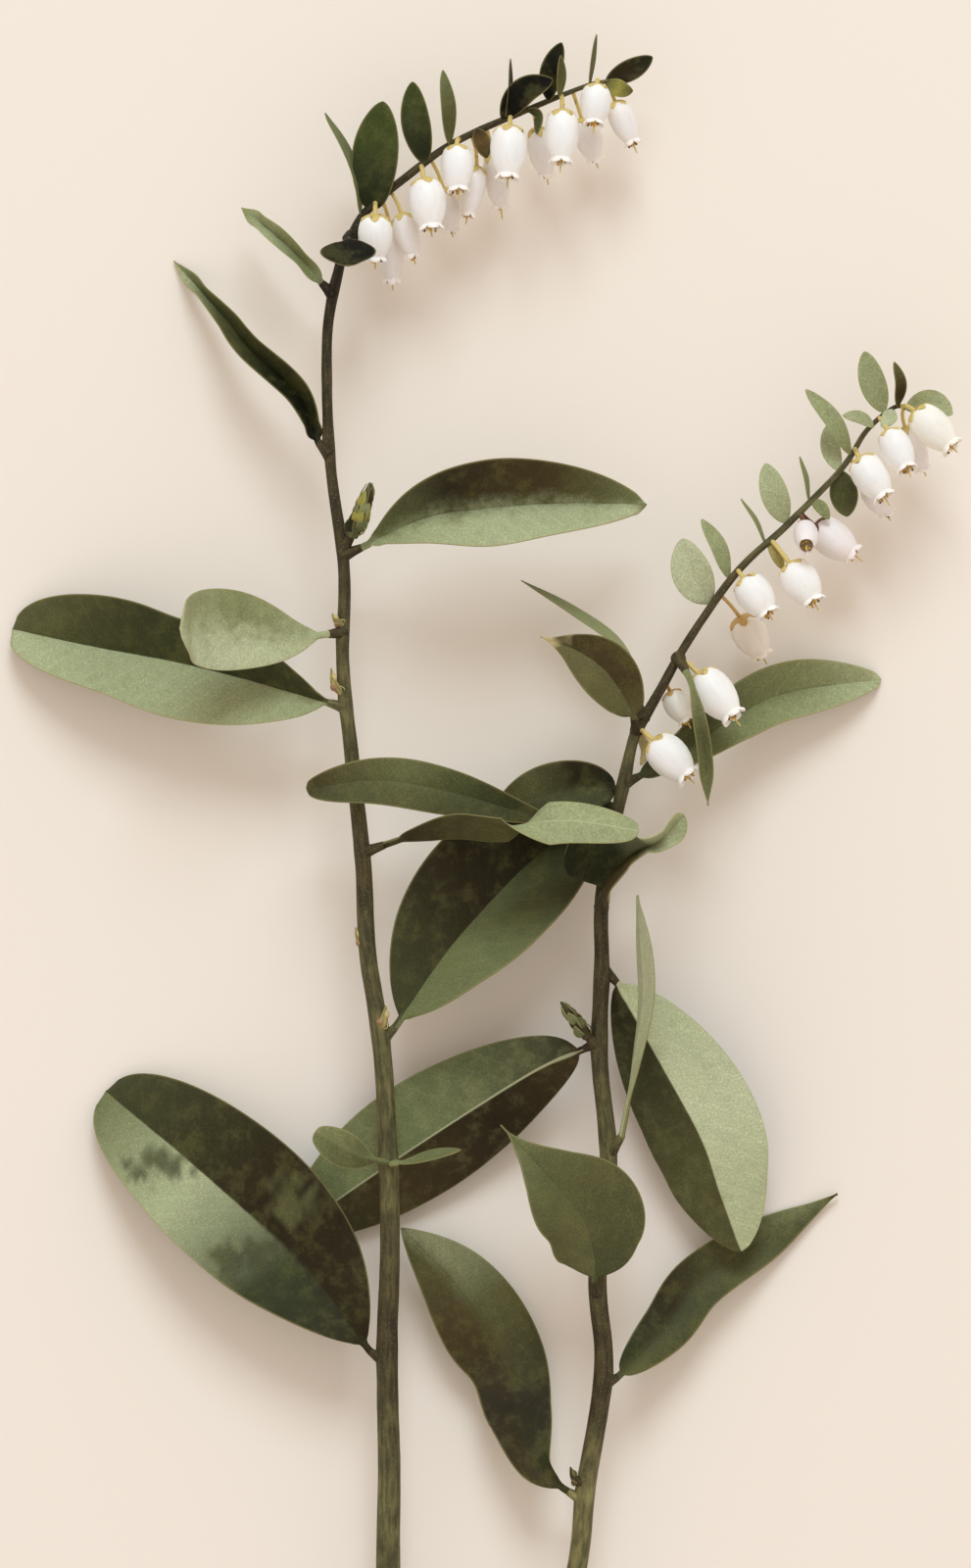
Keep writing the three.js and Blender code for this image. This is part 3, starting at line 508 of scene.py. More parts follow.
SIDE_SPIKE = {
    "axis": [
        (64.7, 84.9, 9.0), (67.4, 89.6, 8.9), (70.1, 94.4, 8.8), (75.2, 101.6, 8.5), (80.4, 106.5, 8.2),
        (86.0, 112.3, 7.9), (88.4, 116.0, 7.8), (91.2, 118.4, 7.7), (92.6, 118.4, 7.6),
    ],
    "radii": [0.56, 0.44, 0.37, 0.32, 0.22],
    "tones": "bark_dark umber bark_olive umber",
    "bracts": [
        new_bract(4.2, "silver", (72.4, 98.4, 8), (70.6, 101.4, 9.4), (69.6, 105.0, 10)),
        new_bract(1.9, "pale_sage", (74.4, 101.0, 8), (73.3, 104.2, 9), (71.6, 107.0, 9), roll=25),
        new_bract(1.6, "sage", (78.2, 104.4, 8), (77.1, 106.8, 9), (75.6, 109.1, 9), roll=72),
        new_bract(2.9, "silver_sage", (80.2, 106.6, 8), (79.0, 109.6, 9), (78.1, 112.7, 9)),
        new_bract(1.6, "sage", (82.6, 108.9, 8), (82.2, 111.2, 9), (81.6, 113.4, 9), roll=70),
        new_bract(2.0, "silver_sage", (85.6, 112.0, 7.6), (84.8, 114.2, 6.8), (84.4, 116.6, 6.6)),
        new_bract(
            2.0, "sage pale_sage pale_sage", (86.8, 113.6, 8), (85.0, 117.0, 9.4), (82.2, 120.2, 10), roll=20,
        ),
        new_bract(
            3.0, "dark_olive dark_olive olive", (85.8, 112.0, 7.8), (86.1, 109.8, 7.2), (86.5, 107.3, 6.8),
        ),
        new_bract(1.3, "silver_sage", (89.2, 116.4, 8), (87.8, 117.4, 8.4), (86.0, 117.6, 9)),
        new_bract(2.8, "pale_sage", (90.2, 117.9, 8), (89.0, 121.0, 9), (88.2, 124.1, 9.4)),
        new_bract(
            1.3, "dark_brown umber olive", (91.6, 118.5, 8), (91.9, 120.8, 9.6), (91.2, 123.0, 10.4), roll=20,
        ),
        new_bract(2.5, "pale_sage silver_sage", (92.4, 118.3, 7.8), (95.0, 119.0, 8.4), (97.2, 117.7, 8.6)),
        new_bract(1.6, "silver", (91.2, 118.2, 7.8), (90.6, 117.2, 9.4), (89.9, 116.4, 10)),
        new_bract(1.2, "straw_green", (78.4, 104.6, 8.2), (79.2, 103.4, 8.6), (79.9, 101.9, 8.2)),
        new_bract(1.3, "sage", (82.8, 109.0, 8), (83.8, 108.2, 8.8), (84.6, 107.0, 9)),
        new_bract(1.3, "straw", (65.0, 85.6, 8.6), (65.9, 83.6, 7.6), (65.4, 81.9, 7.2), roll=35),
    ],
    "flowers": [
        new_flower((66.7, 84.4), (70.2, 80.7), 4.1, (11.0, 12.0)),
        new_flower((68.4, 89.4), (70.1, 86.4), 2.9, (7.2, 7.4), petal="petal_cream", calyx="calyx_orange"),
        new_flower((71.3, 91.2), (74.8, 86.8), 4.1, (10.4, 11.6)),
        new_flower((75.6, 97.0), (77.8, 93.2), 3.5, BACK, petal="petal_peach", calyx="calyx_orange"),
        new_flower((75.9, 100.9), (78.4, 97.3), 3.7, FRONT),
        new_flower((80.6, 102.4), (83.0, 98.5), 3.9, FRONT),
        new_flower((83.2, 106.4), (87.2, 103.4), 3.9, (6.6, 6.8), petal="petal_pink", calyx="calyx_brown"),
        new_flower(
            (82.2, 106.2), (82.2, 104.2), 2.6, (9.4, 13.2), petal="petal_pink", calyx="calyx_brown",
            brown_anthers=True,
        ),
        new_flower((87.7, 113.2), (90.2, 109.2), 3.7, FRONT),
        new_flower((88.6, 111.0), (90.6, 107.6), 2.8, BACK),
        new_flower((90.6, 115.9), (92.5, 112.0), 3.3, (10.4, 12.0)),
        new_flower((92.4, 116.4), (94.3, 112.2), 2.6, BACK),
        new_flower((93.4, 118.0), (97.1, 114.3), 3.8, FRONT, petal="petal_cream"),
    ],
}


# Materials.
def colour(hex_code):
    """An sRGB hex colour as the linear colour that a shader takes."""
    parts = [int(hex_code[i:i + 2], 16) / 255 for i in (1, 3, 5)]
    linear = [c / 12.92 if c <= 0.04045 else ((c + 0.055) / 1.055) ** 2.4 for c in parts]
    return (*linear, 1.0)


class Look:
    """A new material, with short names for the nodes that the skins are built from."""

    def __init__(self, name):
        self.material = bpy.data.materials.new(name)
        self.material.use_nodes = True
        self.tree = self.material.node_tree

    def plug(self, node, inputs):
        """Sets a node's inputs by name or number, each to a value or a link."""
        for key, value in inputs.items():
            if isinstance(value, bpy.types.NodeSocket):
                self.tree.links.new(value, node.inputs[key])
            else:
                node.inputs[key].default_value = value

    def add(self, kind, settings, inputs):
        """The outputs of a new node, with its settings by name."""
        made = self.tree.nodes.new(kind)
        for key, value in settings.items():
            setattr(made, key, value)
        self.plug(made, inputs)
        return made.outputs

    def read(self, name, output="Color"):
        """A value that the mesh keeps for each vertex."""
        return self.add("ShaderNodeAttribute", {"attribute_name": name}, {})[output]

    def noise(self, place, scale, detail=2.0, **more):
        inputs = {"Vector": place, "Scale": scale, "Detail": detail, **more}
        return self.add("ShaderNodeTexNoise", {}, inputs)[0]

    def dots(self, place, scale):
        """How far each place is from the middle of the nearest dot."""
        return self.add("ShaderNodeTexVoronoi", {}, {"Vector": place, "Scale": scale})["Distance"]

    def lengthwise(self, place, share):
        """A place whose run counts for less, so that a pattern is drawn out along the part."""
        inputs = {0: place, 1: (1.0, 1.0, share)}
        return self.add("ShaderNodeVectorMath", {"operation": "MULTIPLY"}, inputs)[0]

    def blend(self, share, low, high, kind="MIX"):
        """A mix of two colours."""
        settings = {"data_type": "RGBA", "blend_type": kind}
        return self.add("ShaderNodeMix", settings, {0: share, 6: low, 7: high})[2]

    def shaded(self, tone, share):
        """A colour made darker or lighter by a share."""
        return self.blend(1.0, tone, share, "MULTIPLY")

    def ramp(self, value, span, to_low=0.0, to_high=1.0):
        """A value from one span taken smoothly to another."""
        inputs = {0: value, 1: span[0], 2: span[1], 3: to_low, 4: to_high}
        return self.add("ShaderNodeMapRange", {"interpolation_type": "SMOOTHSTEP"}, inputs)[0]

    def maths(self, kind, first, second=0.0):
        return self.add("ShaderNodeMath", {"operation": kind}, {0: first, 1: second})[0]

    def plus(self, first, second):
        return self.maths("ADD", first, second)

    def minus(self, first, second):
        return self.maths("SUBTRACT", first, second)

    def times(self, first, second):
        return self.maths("MULTIPLY", first, second)

    def over(self, first, second):
        return self.maths("DIVIDE", first, second)

    def absolute(self, value):
        return self.maths("ABSOLUTE", value)

    def bump(self, height, strength, deep):
        """A relief of a depth in millimetres."""
        inputs = {"Strength": strength, "Distance": deep * MM, "Height": height}
        return self.add("ShaderNodeBump", {}, inputs)[0]

    def done(self, tone, rough, **more):
        """The finished material. Its other inputs are given by name, with _ for each space."""
        inputs = {key.replace("_", " "): value for key, value in more.items()}
        self.plug(self.tree.nodes["Principled BSDF"], {"Base Color": tone, "Roughness": rough, **inputs})
        return self.material


# Patterns of the skins: spacings in millimetres, and the span of a noise or a distance that a change takes.
VEIN_SPACING = 2.3
VEIN_LEAN = 0.85
VEIN_WANDER = 2.4
VEIN_SPAN = (0.03, 0.3)
MIDRIB_SPAN = (0.03, 0.13)
MARGIN_SPAN = (0.02, 0.2)
SCALE_SPACING = 0.3
SCALE_SPAN = (0.15, 0.4)
MOTTLE_LONG = 2.2
MOTTLE_SHARE = 0.12
FLECK_SPAN = (0.46, 0.66)
GRAIN_LONG = 0.2
NOISE_SPAN = (0.3, 0.7)
PALE_MARGIN = "#a99d63"


def leaf_skin(name, side, rib, rib_share, fleck, fleck_share, rough, specular):
    """A leathery blade set with tiny round scales, which show as fine, paler dots. They are drawn twice as
    far apart as real ones, so that they show. The two halves have their own tones, the leaf's colour with
    painted light on the half that faces the light and painted shade on the other, and meet at the midrib."""
    look = Look(name)
    place = look.read("blade_mm", "Vector")
    across, run, size = look.add("ShaderNodeSeparateXYZ", {}, {0: place})
    off_rib = look.over(look.absolute(across), size)
    mottle = look.noise(place, 1 / MOTTLE_LONG, 5.0, Roughness=0.65)
    grain = look.noise(place, 1 / GRAIN_LONG)
    dots = look.dots(place, 1 / SCALE_SPACING)

    wander = look.times(look.minus(mottle, 0.5), VEIN_WANDER)
    climb = look.minus(run, look.times(off_rib, VEIN_LEAN))
    cycle = look.maths("FRACT", look.over(look.plus(climb, wander), VEIN_SPACING))
    from_vein = look.times(look.absolute(look.minus(cycle, 0.5)), VEIN_SPACING)
    midrib = look.times(look.ramp(off_rib, MIDRIB_SPAN, rib_share, 0.0), look.read("rib_share", "Fac"))

    seam = look.plus(look.over(across, look.read("soft_mm", "Fac")), wander)
    # The halves' tones carry painted light on the half that faces the light and painted shade on the other.
    halves = look.blend(look.ramp(seam, (-1.0, 1.0)), look.read(f"{side}_right"), look.read(f"{side}_left"))
    flecked = look.blend(look.ramp(mottle, FLECK_SPAN, 0.0, fleck_share), halves, colour(fleck))
    shade = look.ramp(mottle, NOISE_SPAN, 1.0 - MOTTLE_SHARE, 1.0 + MOTTLE_SHARE)
    fine = look.times(look.ramp(grain, NOISE_SPAN, 0.84, 1.1), look.ramp(dots, SCALE_SPAN, 1.22, 1.0))
    veined = look.times(fine, look.ramp(from_vein, VEIN_SPAN, 1.07, 1.0))
    mottled = look.shaded(flecked, look.times(shade, veined))
    ribbed = look.blend(look.times(midrib, size), mottled, colour(rib))
    edge = look.ramp(look.read("inset_mm", "Fac"), MARGIN_SPAN, 0.35, 0.0)
    edged = look.blend(edge, ribbed, colour(PALE_MARGIN))

    scales = look.times(look.ramp(dots, SCALE_SPAN, 1.0, 0.0), 0.5)
    veins = look.times(look.ramp(from_vein, VEIN_SPAN, 1.0, 0.0), -0.6)
    height = look.plus(look.plus(scales, veins), look.times(grain, 0.5))
    uneven = look.ramp(grain, NOISE_SPAN, rough - 0.06, rough + 0.06)
    relief = look.bump(height, 0.5, 0.05)
    return look.done(edged, uneven, Normal=relief, IOR=1.45, Specular_IOR_Level=specular)


def leaf_margin():
    """The thin, paler edge of a blade, over the tone of the half it edges, painted light and shade included.
    """
    look = Look("leaf_margin_pale")
    tone = look.blend(0.35, look.read("edge_tone"), colour(PALE_MARGIN))
    return look.done(tone, 0.6, Specular_IOR_Level=0.3)


def young_bark():
    """Young bark: matt and olive brown, streaked lengthwise by its fibres, with fine pale dots."""
    look = Look("bark_young_streaked")
    place = look.read("bark_mm", "Vector")
    streak = look.noise(look.lengthwise(place, 0.16), 2.6, 4.0)
    patch = look.noise(place, 0.4, 3.0)
    dot = look.ramp(look.dots(place, 2.8), (0.14, 0.34), 1.0, 0.0)
    shade = look.times(look.ramp(streak, (0.38, 0.62), 1.18, 0.62), look.ramp(patch, (0.35, 0.65), 0.8, 1.2))
    streaked = look.shaded(look.read("bark_tone"), shade)
    dotted = look.blend(look.times(dot, 0.13), streaked, colour("#a79d72"))
    height = look.plus(streak, look.times(dot, 0.4))
    return look.done(dotted, 0.66, Normal=look.bump(height, 0.6, 0.06), Specular_IOR_Level=0.3)


def cut_wood():
    """The cut end: pale green wood, finely mottled."""
    look = Look("wood_fresh_cut")
    fibre = look.noise(look.read("bark_mm", "Vector"), 6.0, 3.0)
    return look.done(look.blend(look.ramp(fibre, (0.35, 0.65)), colour("#cfc594"), colour("#a99c66")), 0.7)


def petal():
    """A waxy petal: smooth, letting some light through, a little darker along its fine veins."""
    look = Look("petal_waxy")
    vein = look.noise(look.lengthwise(look.read("petal_mm", "Vector"), 0.2), 1.8)
    veined = look.shaded(look.read("flower_tone"), look.ramp(vein, (0.45, 0.7), 1.0, 0.95))
    glow = {"Subsurface_Weight": 0.35, "Subsurface_Radius": (1.0, 0.8, 0.6), "Subsurface_Scale": 0.5 * MM}
    return look.done(veined, 0.5, Normal=look.bump(vein, 0.15, 0.03), **glow)


def calyx_skin():
    """Sepals and flower stalks: matt and a little uneven, browner in places."""
    look = Look("calyx_matt")
    patch = look.noise(look.read("petal_mm", "Vector"), 1.1, 3.0)
    brown = look.ramp(patch, (0.55, 0.72), 0.0, 0.7)
    return look.done(look.blend(brown, look.read("flower_tone"), colour("#7b5a2c")), 0.6)


def plain_skin(name, tone, rough):
    """A small part of one colour, a little uneven."""
    look = Look(name)
    place = look.add("ShaderNodeTexCoord", {}, {})["Object"]
    patch = look.noise(place, 3 / MM)
    return look.done(look.shaded(colour(tone), look.ramp(patch, NOISE_SPAN, 0.75, 1.2)), rough)


# The upper side of a leaf is dull and dark, with a faint midrib, and the underside paler, with a pale midrib.
SKINS = {
    "upper": leaf_skin("leaf_upper_leathery", "upper", "#3a3a20", 0.3, "#5c5a30", 0.3, 0.6, 0.15),
    "under": leaf_skin("leaf_under_scurfy", "under", "#c4c79e", 0.6, "#7f7f55", 0.2, 0.68, 0.2),
    "margin": leaf_margin(),
    "bark": young_bark(),
    "cut": cut_wood(),
    "petal": petal(),
    "calyx": calyx_skin(),
    "anther": plain_skin("anther_yellow", "#d6a94a", 0.6),
    "anther_tip": plain_skin("anther_tip_brown", "#6b4a20", 0.6),
}


# Making shapes.
def to_frame(points):
    return (points - FOOTPRINT_MIDDLE) * MM


def read_points(piece):
    flat = np.empty(len(piece.data.vertices) * 3)
    piece.data.vertices.foreach_get("co", flat)
    return flat.reshape(-1, 3)


def write_points(piece, points):
    piece.data.vertices.foreach_set("co", np.ascontiguousarray(points, float).ravel())
    piece.data.update()


# The kinds of value that a mesh can keep for each vertex, each with the field that holds it.
FIELDS = {"FLOAT": "value", "FLOAT_VECTOR": "vector", "FLOAT_COLOR": "color"}


def write_attribute(piece, name, kind, values):
    """Keeps a value for each vertex, which a material reads by name."""
    made = piece.data.attributes.new(name, kind, "POINT")
    made.data.foreach_set(FIELDS[kind], np.ascontiguousarray(values, float).ravel())


def start(name):
    """The object that an operator has just added, named, with its mesh."""
    piece = bpy.context.object
    piece.name = name
    piece.data.name = name
    return piece


def skin(piece, *names):
    for name in names:
        piece.data.materials.append(SKINS[name])


def apply_modifier(piece, kind, **settings):
    modifier = piece.modifiers.new(kind.lower(), kind)
    for key, value in settings.items():
        setattr(modifier, key, value)
    bpy.ops.object.modifier_apply(modifier=modifier.name)


def only(piece):
    bpy.ops.object.select_all(action="DESELECT")
    piece.select_set(True)
    bpy.context.view_layer.objects.active = piece


def join(name, pieces):
    """Joins pieces into one, which keeps every material."""
    only(pieces[0])
    for piece in pieces[1:]:
        piece.select_set(True)
    bpy.ops.object.join()
    return start(name)


# Edges that turn by less than this many degrees are shaded smooth.
THIN_BELOW = 50
ROUND_BELOW = 60


def smooth_shading(piece, degrees):
    only(piece)
    bpy.ops.object.shade_smooth_by_angle(angle=math.radians(degrees))


def hand_in(piece, node):
    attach(piece, "root")
    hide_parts(node)


def hash_number(name):
    """A steady number for a name, so that no two pieces carry the same pattern."""
    return sum((i + 3) * ord(letter) for i, letter in enumerate(name)) % 97


def unevenness(places):
    """A smooth noise between about -1 and 1, read at each place."""
    return np.array([noise.noise(place) for place in places.tolist()])


def tone_points(tones, share):
    """The colour of each vertex, from evenly spaced tones."""
    steps = [colour(TONES[name]) for name in tones.split()]
    return np.stack([along([step[i] for step in steps], share) for i in range(4)], -1)


def write_tone(piece, name, colours):
    write_attribute(piece, name, "FLOAT_COLOR", colours)


# Leaves. Rows of cells crowd towards the ends of a blade and columns towards its midrib. The stalk runs into
# the blade over a short span of its length, and the midrib thins towards the tip.
ROW_CROWDING = 0.6
COLUMN_CROWDING = 1.3
STALK_SPAN = (-0.03, 0.1)
STALK_ROUNDNESS = 1.15
MIDRIB_TAPER = 0.75
LEAST_THICKNESS = 0.35
LEAST_MIDRIB = 0.3
CORNER_FROM = math.radians(60)
HIDDEN_TONES = {"upper": "dark_olive", "under": "sage"}
PATCH_RAGGED = 1.4
PATCH_COVER = 0.85
PATCH_CORE = 0.35


def half_width(leaf, share):
    """Half the blade's width at a share of its length, widest at `widest`, with blunt or drawn-out ends."""
    skew = math.log(0.5) / math.log(leaf["widest"])
    power = along(leaf["ends"], share)
    return leaf["width"] / 2 * np.maximum(np.sin(np.pi * np.clip(share, 0, 1) ** skew), 0) ** power


def narrowness(leaf, least):
    """A leaf's width as a share of the full width, and no less than a share."""
    return np.clip(leaf["width"] / FULL_WIDTH, least, 1)


def shaped_sheet(leaf, left, even):
    """Each vertex of a leaf's sheet: its place and facing, and where on the blade it is. `left` is how far it
    is towards the left margin, and `even` how far along the leaf, before the rows crowd to the ends."""
    spine = Spine(leaf["path"])
    stalk = leaf["stalk"] / spine.length
    share = mix(even, (1 - np.cos(np.pi * even)) / 2, ROW_CROWDING)
    blade = (share - stalk) / (1 - stalk)
    half = np.where(blade > 0, half_width(leaf, blade), 0)
    narrowest = mix(STALK_WIDE / 2, BLUNT_TIP, smoothstep(share, 0, 1)) if stalk > 0 else BLUNT_TIP

    heading = spine.heading(share)
    side = unit(np.stack([-heading[:, 1], heading[:, 0], np.zeros(len(share))], -1))
    up = np.cross(heading, side)
    roll = np.radians(along(leaf["roll"], share))
    fold = np.radians(along(leaf["fold"], share)) * smoothstep(half, *FOLD_HALF_WIDTHS)
    hand = np.sign(left)
    lean = hand * roll + np.abs(hand) * fold
    outward = side * (hand * np.cos(lean))[:, None] + up * np.sin(lean)[:, None]
    tilt = roll + hand * fold
    facing = up * np.cos(tilt)[:, None] - side * np.sin(tilt)[:, None]

    pinched, place, wide, depth = leaf["waist"]
    waist = 1 - depth * np.exp(-(((blade - place) / wide) ** 2)) * (hand == pinched)
    reach = np.abs(left) * np.maximum(half, narrowest) * waist
    points = spine.at(share) + outward * reach[:, None]
    high, waves, phase = leaf["wave"]
    ripple = high * left * left * np.sin(2 * np.pi * (waves * blade + phase)) * (half > 0)
    swell = unevenness(points / UNDULATION_LONG) * UNDULATION * smoothstep(half, *SWELL_HALF_WIDTHS)
    points = points + facing * (ripple + swell)[:, None]

    on_blade = smoothstep(blade, *STALK_SPAN) if stalk > 0 else np.ones_like(share)
    rib = np.exp(-((reach / MIDRIB_WIDE) ** 2)) * (1 - MIDRIB_TAPER * share)
    size = narrowness(leaf, LEAST_THICKNESS)
    blade_thick = size * (mix(BLADE_THICK, MARGIN_THICK, left**4) + MIDRIB_THICK * rib)
    stalk_thick = STALK_THICK * np.sqrt(np.clip(STALK_ROUNDNESS - left**2, 0.05, 1))
    return {
        "points": points,
        "facing": facing,
        "across": hand * reach,
        "inset": np.maximum(half, narrowest) * waist - reach + 1 - on_blade,
        "share": share,
        "run": share * spine.length,
        "thick": mix(stalk_thick, blade_thick, on_blade),
        "groove": MIDRIB_GROOVE * rib * on_blade * size,
    }


def half_tones_with_painted_light(leaf, half, sheet):
    """The colours of one half of the side that shows, the leaf's own colour with painted light if the half
    faces the light and painted shade if it is turned away: tones from base to tip, and soft spots over them.
    """
    colours = tone_points(leaf[half], sheet["share"])
    for x, y, wide, high, tone in leaf["patches"]:
        away = np.hypot((sheet["points"][:, 0] - x) / wide, (sheet["points"][:, 1] - y) / high)
        away = away + unevenness(sheet["points"] / PATCH_RAGGED)
        cover = PATCH_COVER * (1 - smoothstep(away, PATCH_CORE, 1))
        colours = mix(colours, tone_points(tone, away), cover[:, None])
    return colours


# Writes the half tones of the side that shows, painted light and shade included, plain tones for the hidden
# side, and the margin's tones.
def tone_leaf(piece, leaf, sheet):
    shown, hidden = ("under", "upper") if leaf["turned"] else ("upper", "under")
    halves = {half: half_tones_with_painted_light(leaf, half, sheet) for half in ("left", "right")}
    back = tone_points(leaf["back"] or HIDDEN_TONES[hidden], sheet["share"])
    for half, colours in halves.items():
        write_tone(piece, f"{shown}_{half}", colours)
        write_tone(piece, f"{hidden}_{half}", back)
    on_left = sheet["across"][:, None] > 0
    write_tone(piece, "edge_tone", np.where(on_left, halves["left"], halves["right"]))


def leaf_piece(name, leaf, cells=LEAF_CELLS):
    """A leaf: a grid bent along its midrib, with a thickness, a rounded margin and its two sides' skins."""
    bpy.ops.mesh.primitive_grid_add(x_subdivisions=cells[0], y_subdivisions=cells[1], size=2)
    piece = start(name)
    flat = read_points(piece)
    turned = -1 if leaf["turned"] else 1
    left = -turned * np.sign(flat[:, 0]) * np.abs(flat[:, 0]) ** COLUMN_CROWDING
    left[np.abs(left) < 1e-6] = 0
    sheet = shaped_sheet(leaf, left, flat[:, 1] / 2 + 0.5)
    thick = sheet["thick"]
    upper = sheet["points"] + sheet["facing"] * (turned * (thick / 2 - sheet["groove"]))[:, None]
    lower = sheet["points"] - sheet["facing"] * (turned * thick / 2)[:, None]
    write_points(piece, to_frame(upper))
    size = np.full_like(thick, narrowness(leaf, LEAST_MIDRIB))
    where = np.stack([sheet["across"], sheet["run"] + hash_number(name), size], -1)
    write_attribute(piece, "blade_mm", "FLOAT_VECTOR", where)
    write_attribute(piece, "inset_mm", "FLOAT", sheet["inset"])
    write_attribute(piece, "soft_mm", "FLOAT", along(leaf["soft"], sheet["share"]))
    write_attribute(piece, "rib_share", "FLOAT", np.full_like(thick, leaf["rib"]))
    tone_leaf(piece, leaf, sheet)
    group = piece.vertex_groups.new(name="thick")
    for index, weight in enumerate(thick / thick.max()):
        group.add([index], float(weight), "REPLACE")
    skin(piece, "upper", "under", "margin")
    apply_modifier(
        piece, "SOLIDIFY", thickness=thick.max() * MM, offset=-1, vertex_group="thick", use_even_offset=False,
        material_offset=1, material_offset_rim=2,
    )
    write_points(piece, to_frame(np.vstack([upper, lower])))
    corner = {"limit_method": "ANGLE", "angle_limit": CORNER_FROM}
    apply_modifier(piece, "BEVEL", width=MARGIN_ROUND * MM, segments=2, **corner)
    smooth_shading(piece, THIN_BELOW)
    return piece


# Stems, pegs and buds. A bud's profile, and how far a scale's points are along it and off its middle, are
# shares of its width and length. Its scales start up to a share of the way and shrink towards its tip. On the
# side of a stem away from a leaf, the swelling under it is a share of what it is on the near side. Where a
# limb is steeper than STEEP, its rings are turned to the top of the sheet and not upwards.
STEEP = 0.9
RIDGES_ROUND = 2.6
RIDGES_ALONG = 0.35
SWELL_BEHIND = 0.4
GOLDEN_TURN = math.radians(137.5)
BUD_PROFILE = (0.3, 0.36, 0.34, 0.27, 0.17, 0.05)
SCALES_UP_TO = 0.7
SCALES_SHRINK = 0.4
SCALE_WIDE = 0.66
SCALE_POINTS = ((0.0, 0.2), (0.14, 0.46), (0.34, 0.34))
PLAIN_SCALE = {"fold": -25, "stalk": 0, "ends": [0.5, 0.9]}


def round_limb(name, points, radii, sides, step, tones=None, relief=None, look="bark", degrees=THIN_BELOW):
    """A round limb: one short cylinder repeated along it, closed at both ends and bent along a curve."""
    spine = Spine(points)
    rows = max(3, round(spine.length / step))
    bpy.ops.mesh.primitive_cylinder_add(vertices=sides, radius=1, depth=1, end_fill_type="NOTHING")
    piece = start(name)
    repeat = {"count": rows, "relative_offset_displace": (0, 0, 1)}
    apply_modifier(piece, "ARRAY", use_merge_vertices=True, merge_threshold=0.01, **repeat)
    bpy.ops.object.mode_set(mode="EDIT")
    bpy.ops.mesh.select_all(action="SELECT")
    bpy.ops.mesh.fill_holes(sides=0)
    bpy.ops.mesh.normals_make_consistent(inside=False)
    bpy.ops.object.mode_set(mode="OBJECT")
    rod = read_points(piece)
    share = np.clip((rod[:, 2] + 0.5) / rows, 0, 1)
    heading = spine.heading(share)
    steep = np.abs(heading[:, 2:3]) > STEEP
    guide = np.where(steep, [0.0, 1.0, 0.0], [0.0, 0.0, 1.0])
    up = unit(guide - heading * np.sum(guide * heading, axis=1, keepdims=True))
    side = np.cross(heading, up)
    out = side * rod[:, 0:1] + up * rod[:, 1:2]
    radius = along(radii, share)
    centre = spine.at(share)
    if relief:
        radius = radius + relief(centre, out, share * spine.length)
    write_points(piece, to_frame(centre + out * radius[:, None]))
    where = np.stack([rod[:, 0] * radius, rod[:, 1] * radius, share * spine.length + hash_number(name)], -1)
    write_attribute(piece, "bark_mm", "FLOAT_VECTOR", where)
    if tones:
        write_tone(piece, "bark_tone", tone_points(tones, share))
    skin(piece, look)
    smooth_shading(piece, degrees)
    return piece


def bark_relief(feet):
    """How far the bark stands out: fine ridges along the stem and a swelling under each leaf."""
    def relief(centre, out, way):
        rounds = out[:, [0, 2]] * RIDGES_ROUND
        seeds = np.stack([rounds[:, 0], rounds[:, 1] + out[:, 1], way * RIDGES_ALONG], -1)
        ridges = unevenness(seeds) * BARK_RELIEF
        for foot in feet:
            gap = np.asarray(foot) - centre
            facing = np.clip(np.sum(unit(gap) * out, axis=1), 0, 1)
            near = np.exp(-((np.linalg.norm(gap, axis=1) / NODE_LONG) ** 2))
            ridges = ridges + NODE_SWELL * near * mix(SWELL_BEHIND, 1, facing)
        return ridges
    return relief


def peg(name, spine, path, tones, radius=PEG_RADIUS, sides=PEG_SIDES):
    """The foot of a leaf stalk, wide where it leaves the stem. It ends a little way inside the stalk."""
    leaf = Spine(path)
    foot = leaf.place(0.0)
    back = -leaf.heading(np.array([leaf.NEAR]))[0]
    away = np.linalg.norm(spine.points - foot, axis=1).min()
    nearest = spine.nearest(foot + back * away)
    root = spine.points[nearest]
    end = foot - back * PEG_OVERLAP
    middle = mix(root, end, PEG_MIDDLE) + back * PEG_ARCH
    names = tones.split()
    tone = names[round(spine.reach[nearest] / spine.length * (len(names) - 1))]
    radii = [radius * flare for flare in PEG_FLARE]
    return round_limb(name, [root, middle, end], radii, sides, PEG_STEP, tone)


def bud_pieces(name, bud):
    """A shoot bud: a slim, pointed core in a spiral of small, pressed scale leaves."""
    spine = Spine(bud["path"])
    wide = bud["wide"]
    radii = [share * wide for share in BUD_PROFILE]
    pieces = [round_limb(f"{name}_core", bud["path"], radii, SLIM_SIDES, SLIM_STEP, bud["core"])]
    heading = spine.heading(np.array([0.5]))[0]
    side = unit(np.cross(heading, [0.0, 0.0, 1.0]))
    up = np.cross(side, heading)
    for i in range(bud["scales"]):
        turn = i * GOLDEN_TURN
        out = side * math.cos(turn) + up * math.sin(turn)
        low = SCALES_UP_TO * i / bud["scales"]
        narrow = 1 - SCALES_SHRINK * i / bud["scales"]
        path = []
        for power, (ahead, off) in enumerate(SCALE_POINTS):
            path.append(spine.place(min(low + ahead, 1.0)) + out * wide * off * narrow**power)
        tilt = math.degrees(math.atan2(float(np.dot(out, side)), float(np.dot(out, up))))
        tone = bud["tones"][i % len(bud["tones"])]
        scale = new_leaf(path, wide * SCALE_WIDE * narrow, tone, roll=tilt, **PLAIN_SCALE)
        pieces.append(leaf_piece(f"{name}_scale_{i}", scale, SCALE_CELLS))
    return pieces


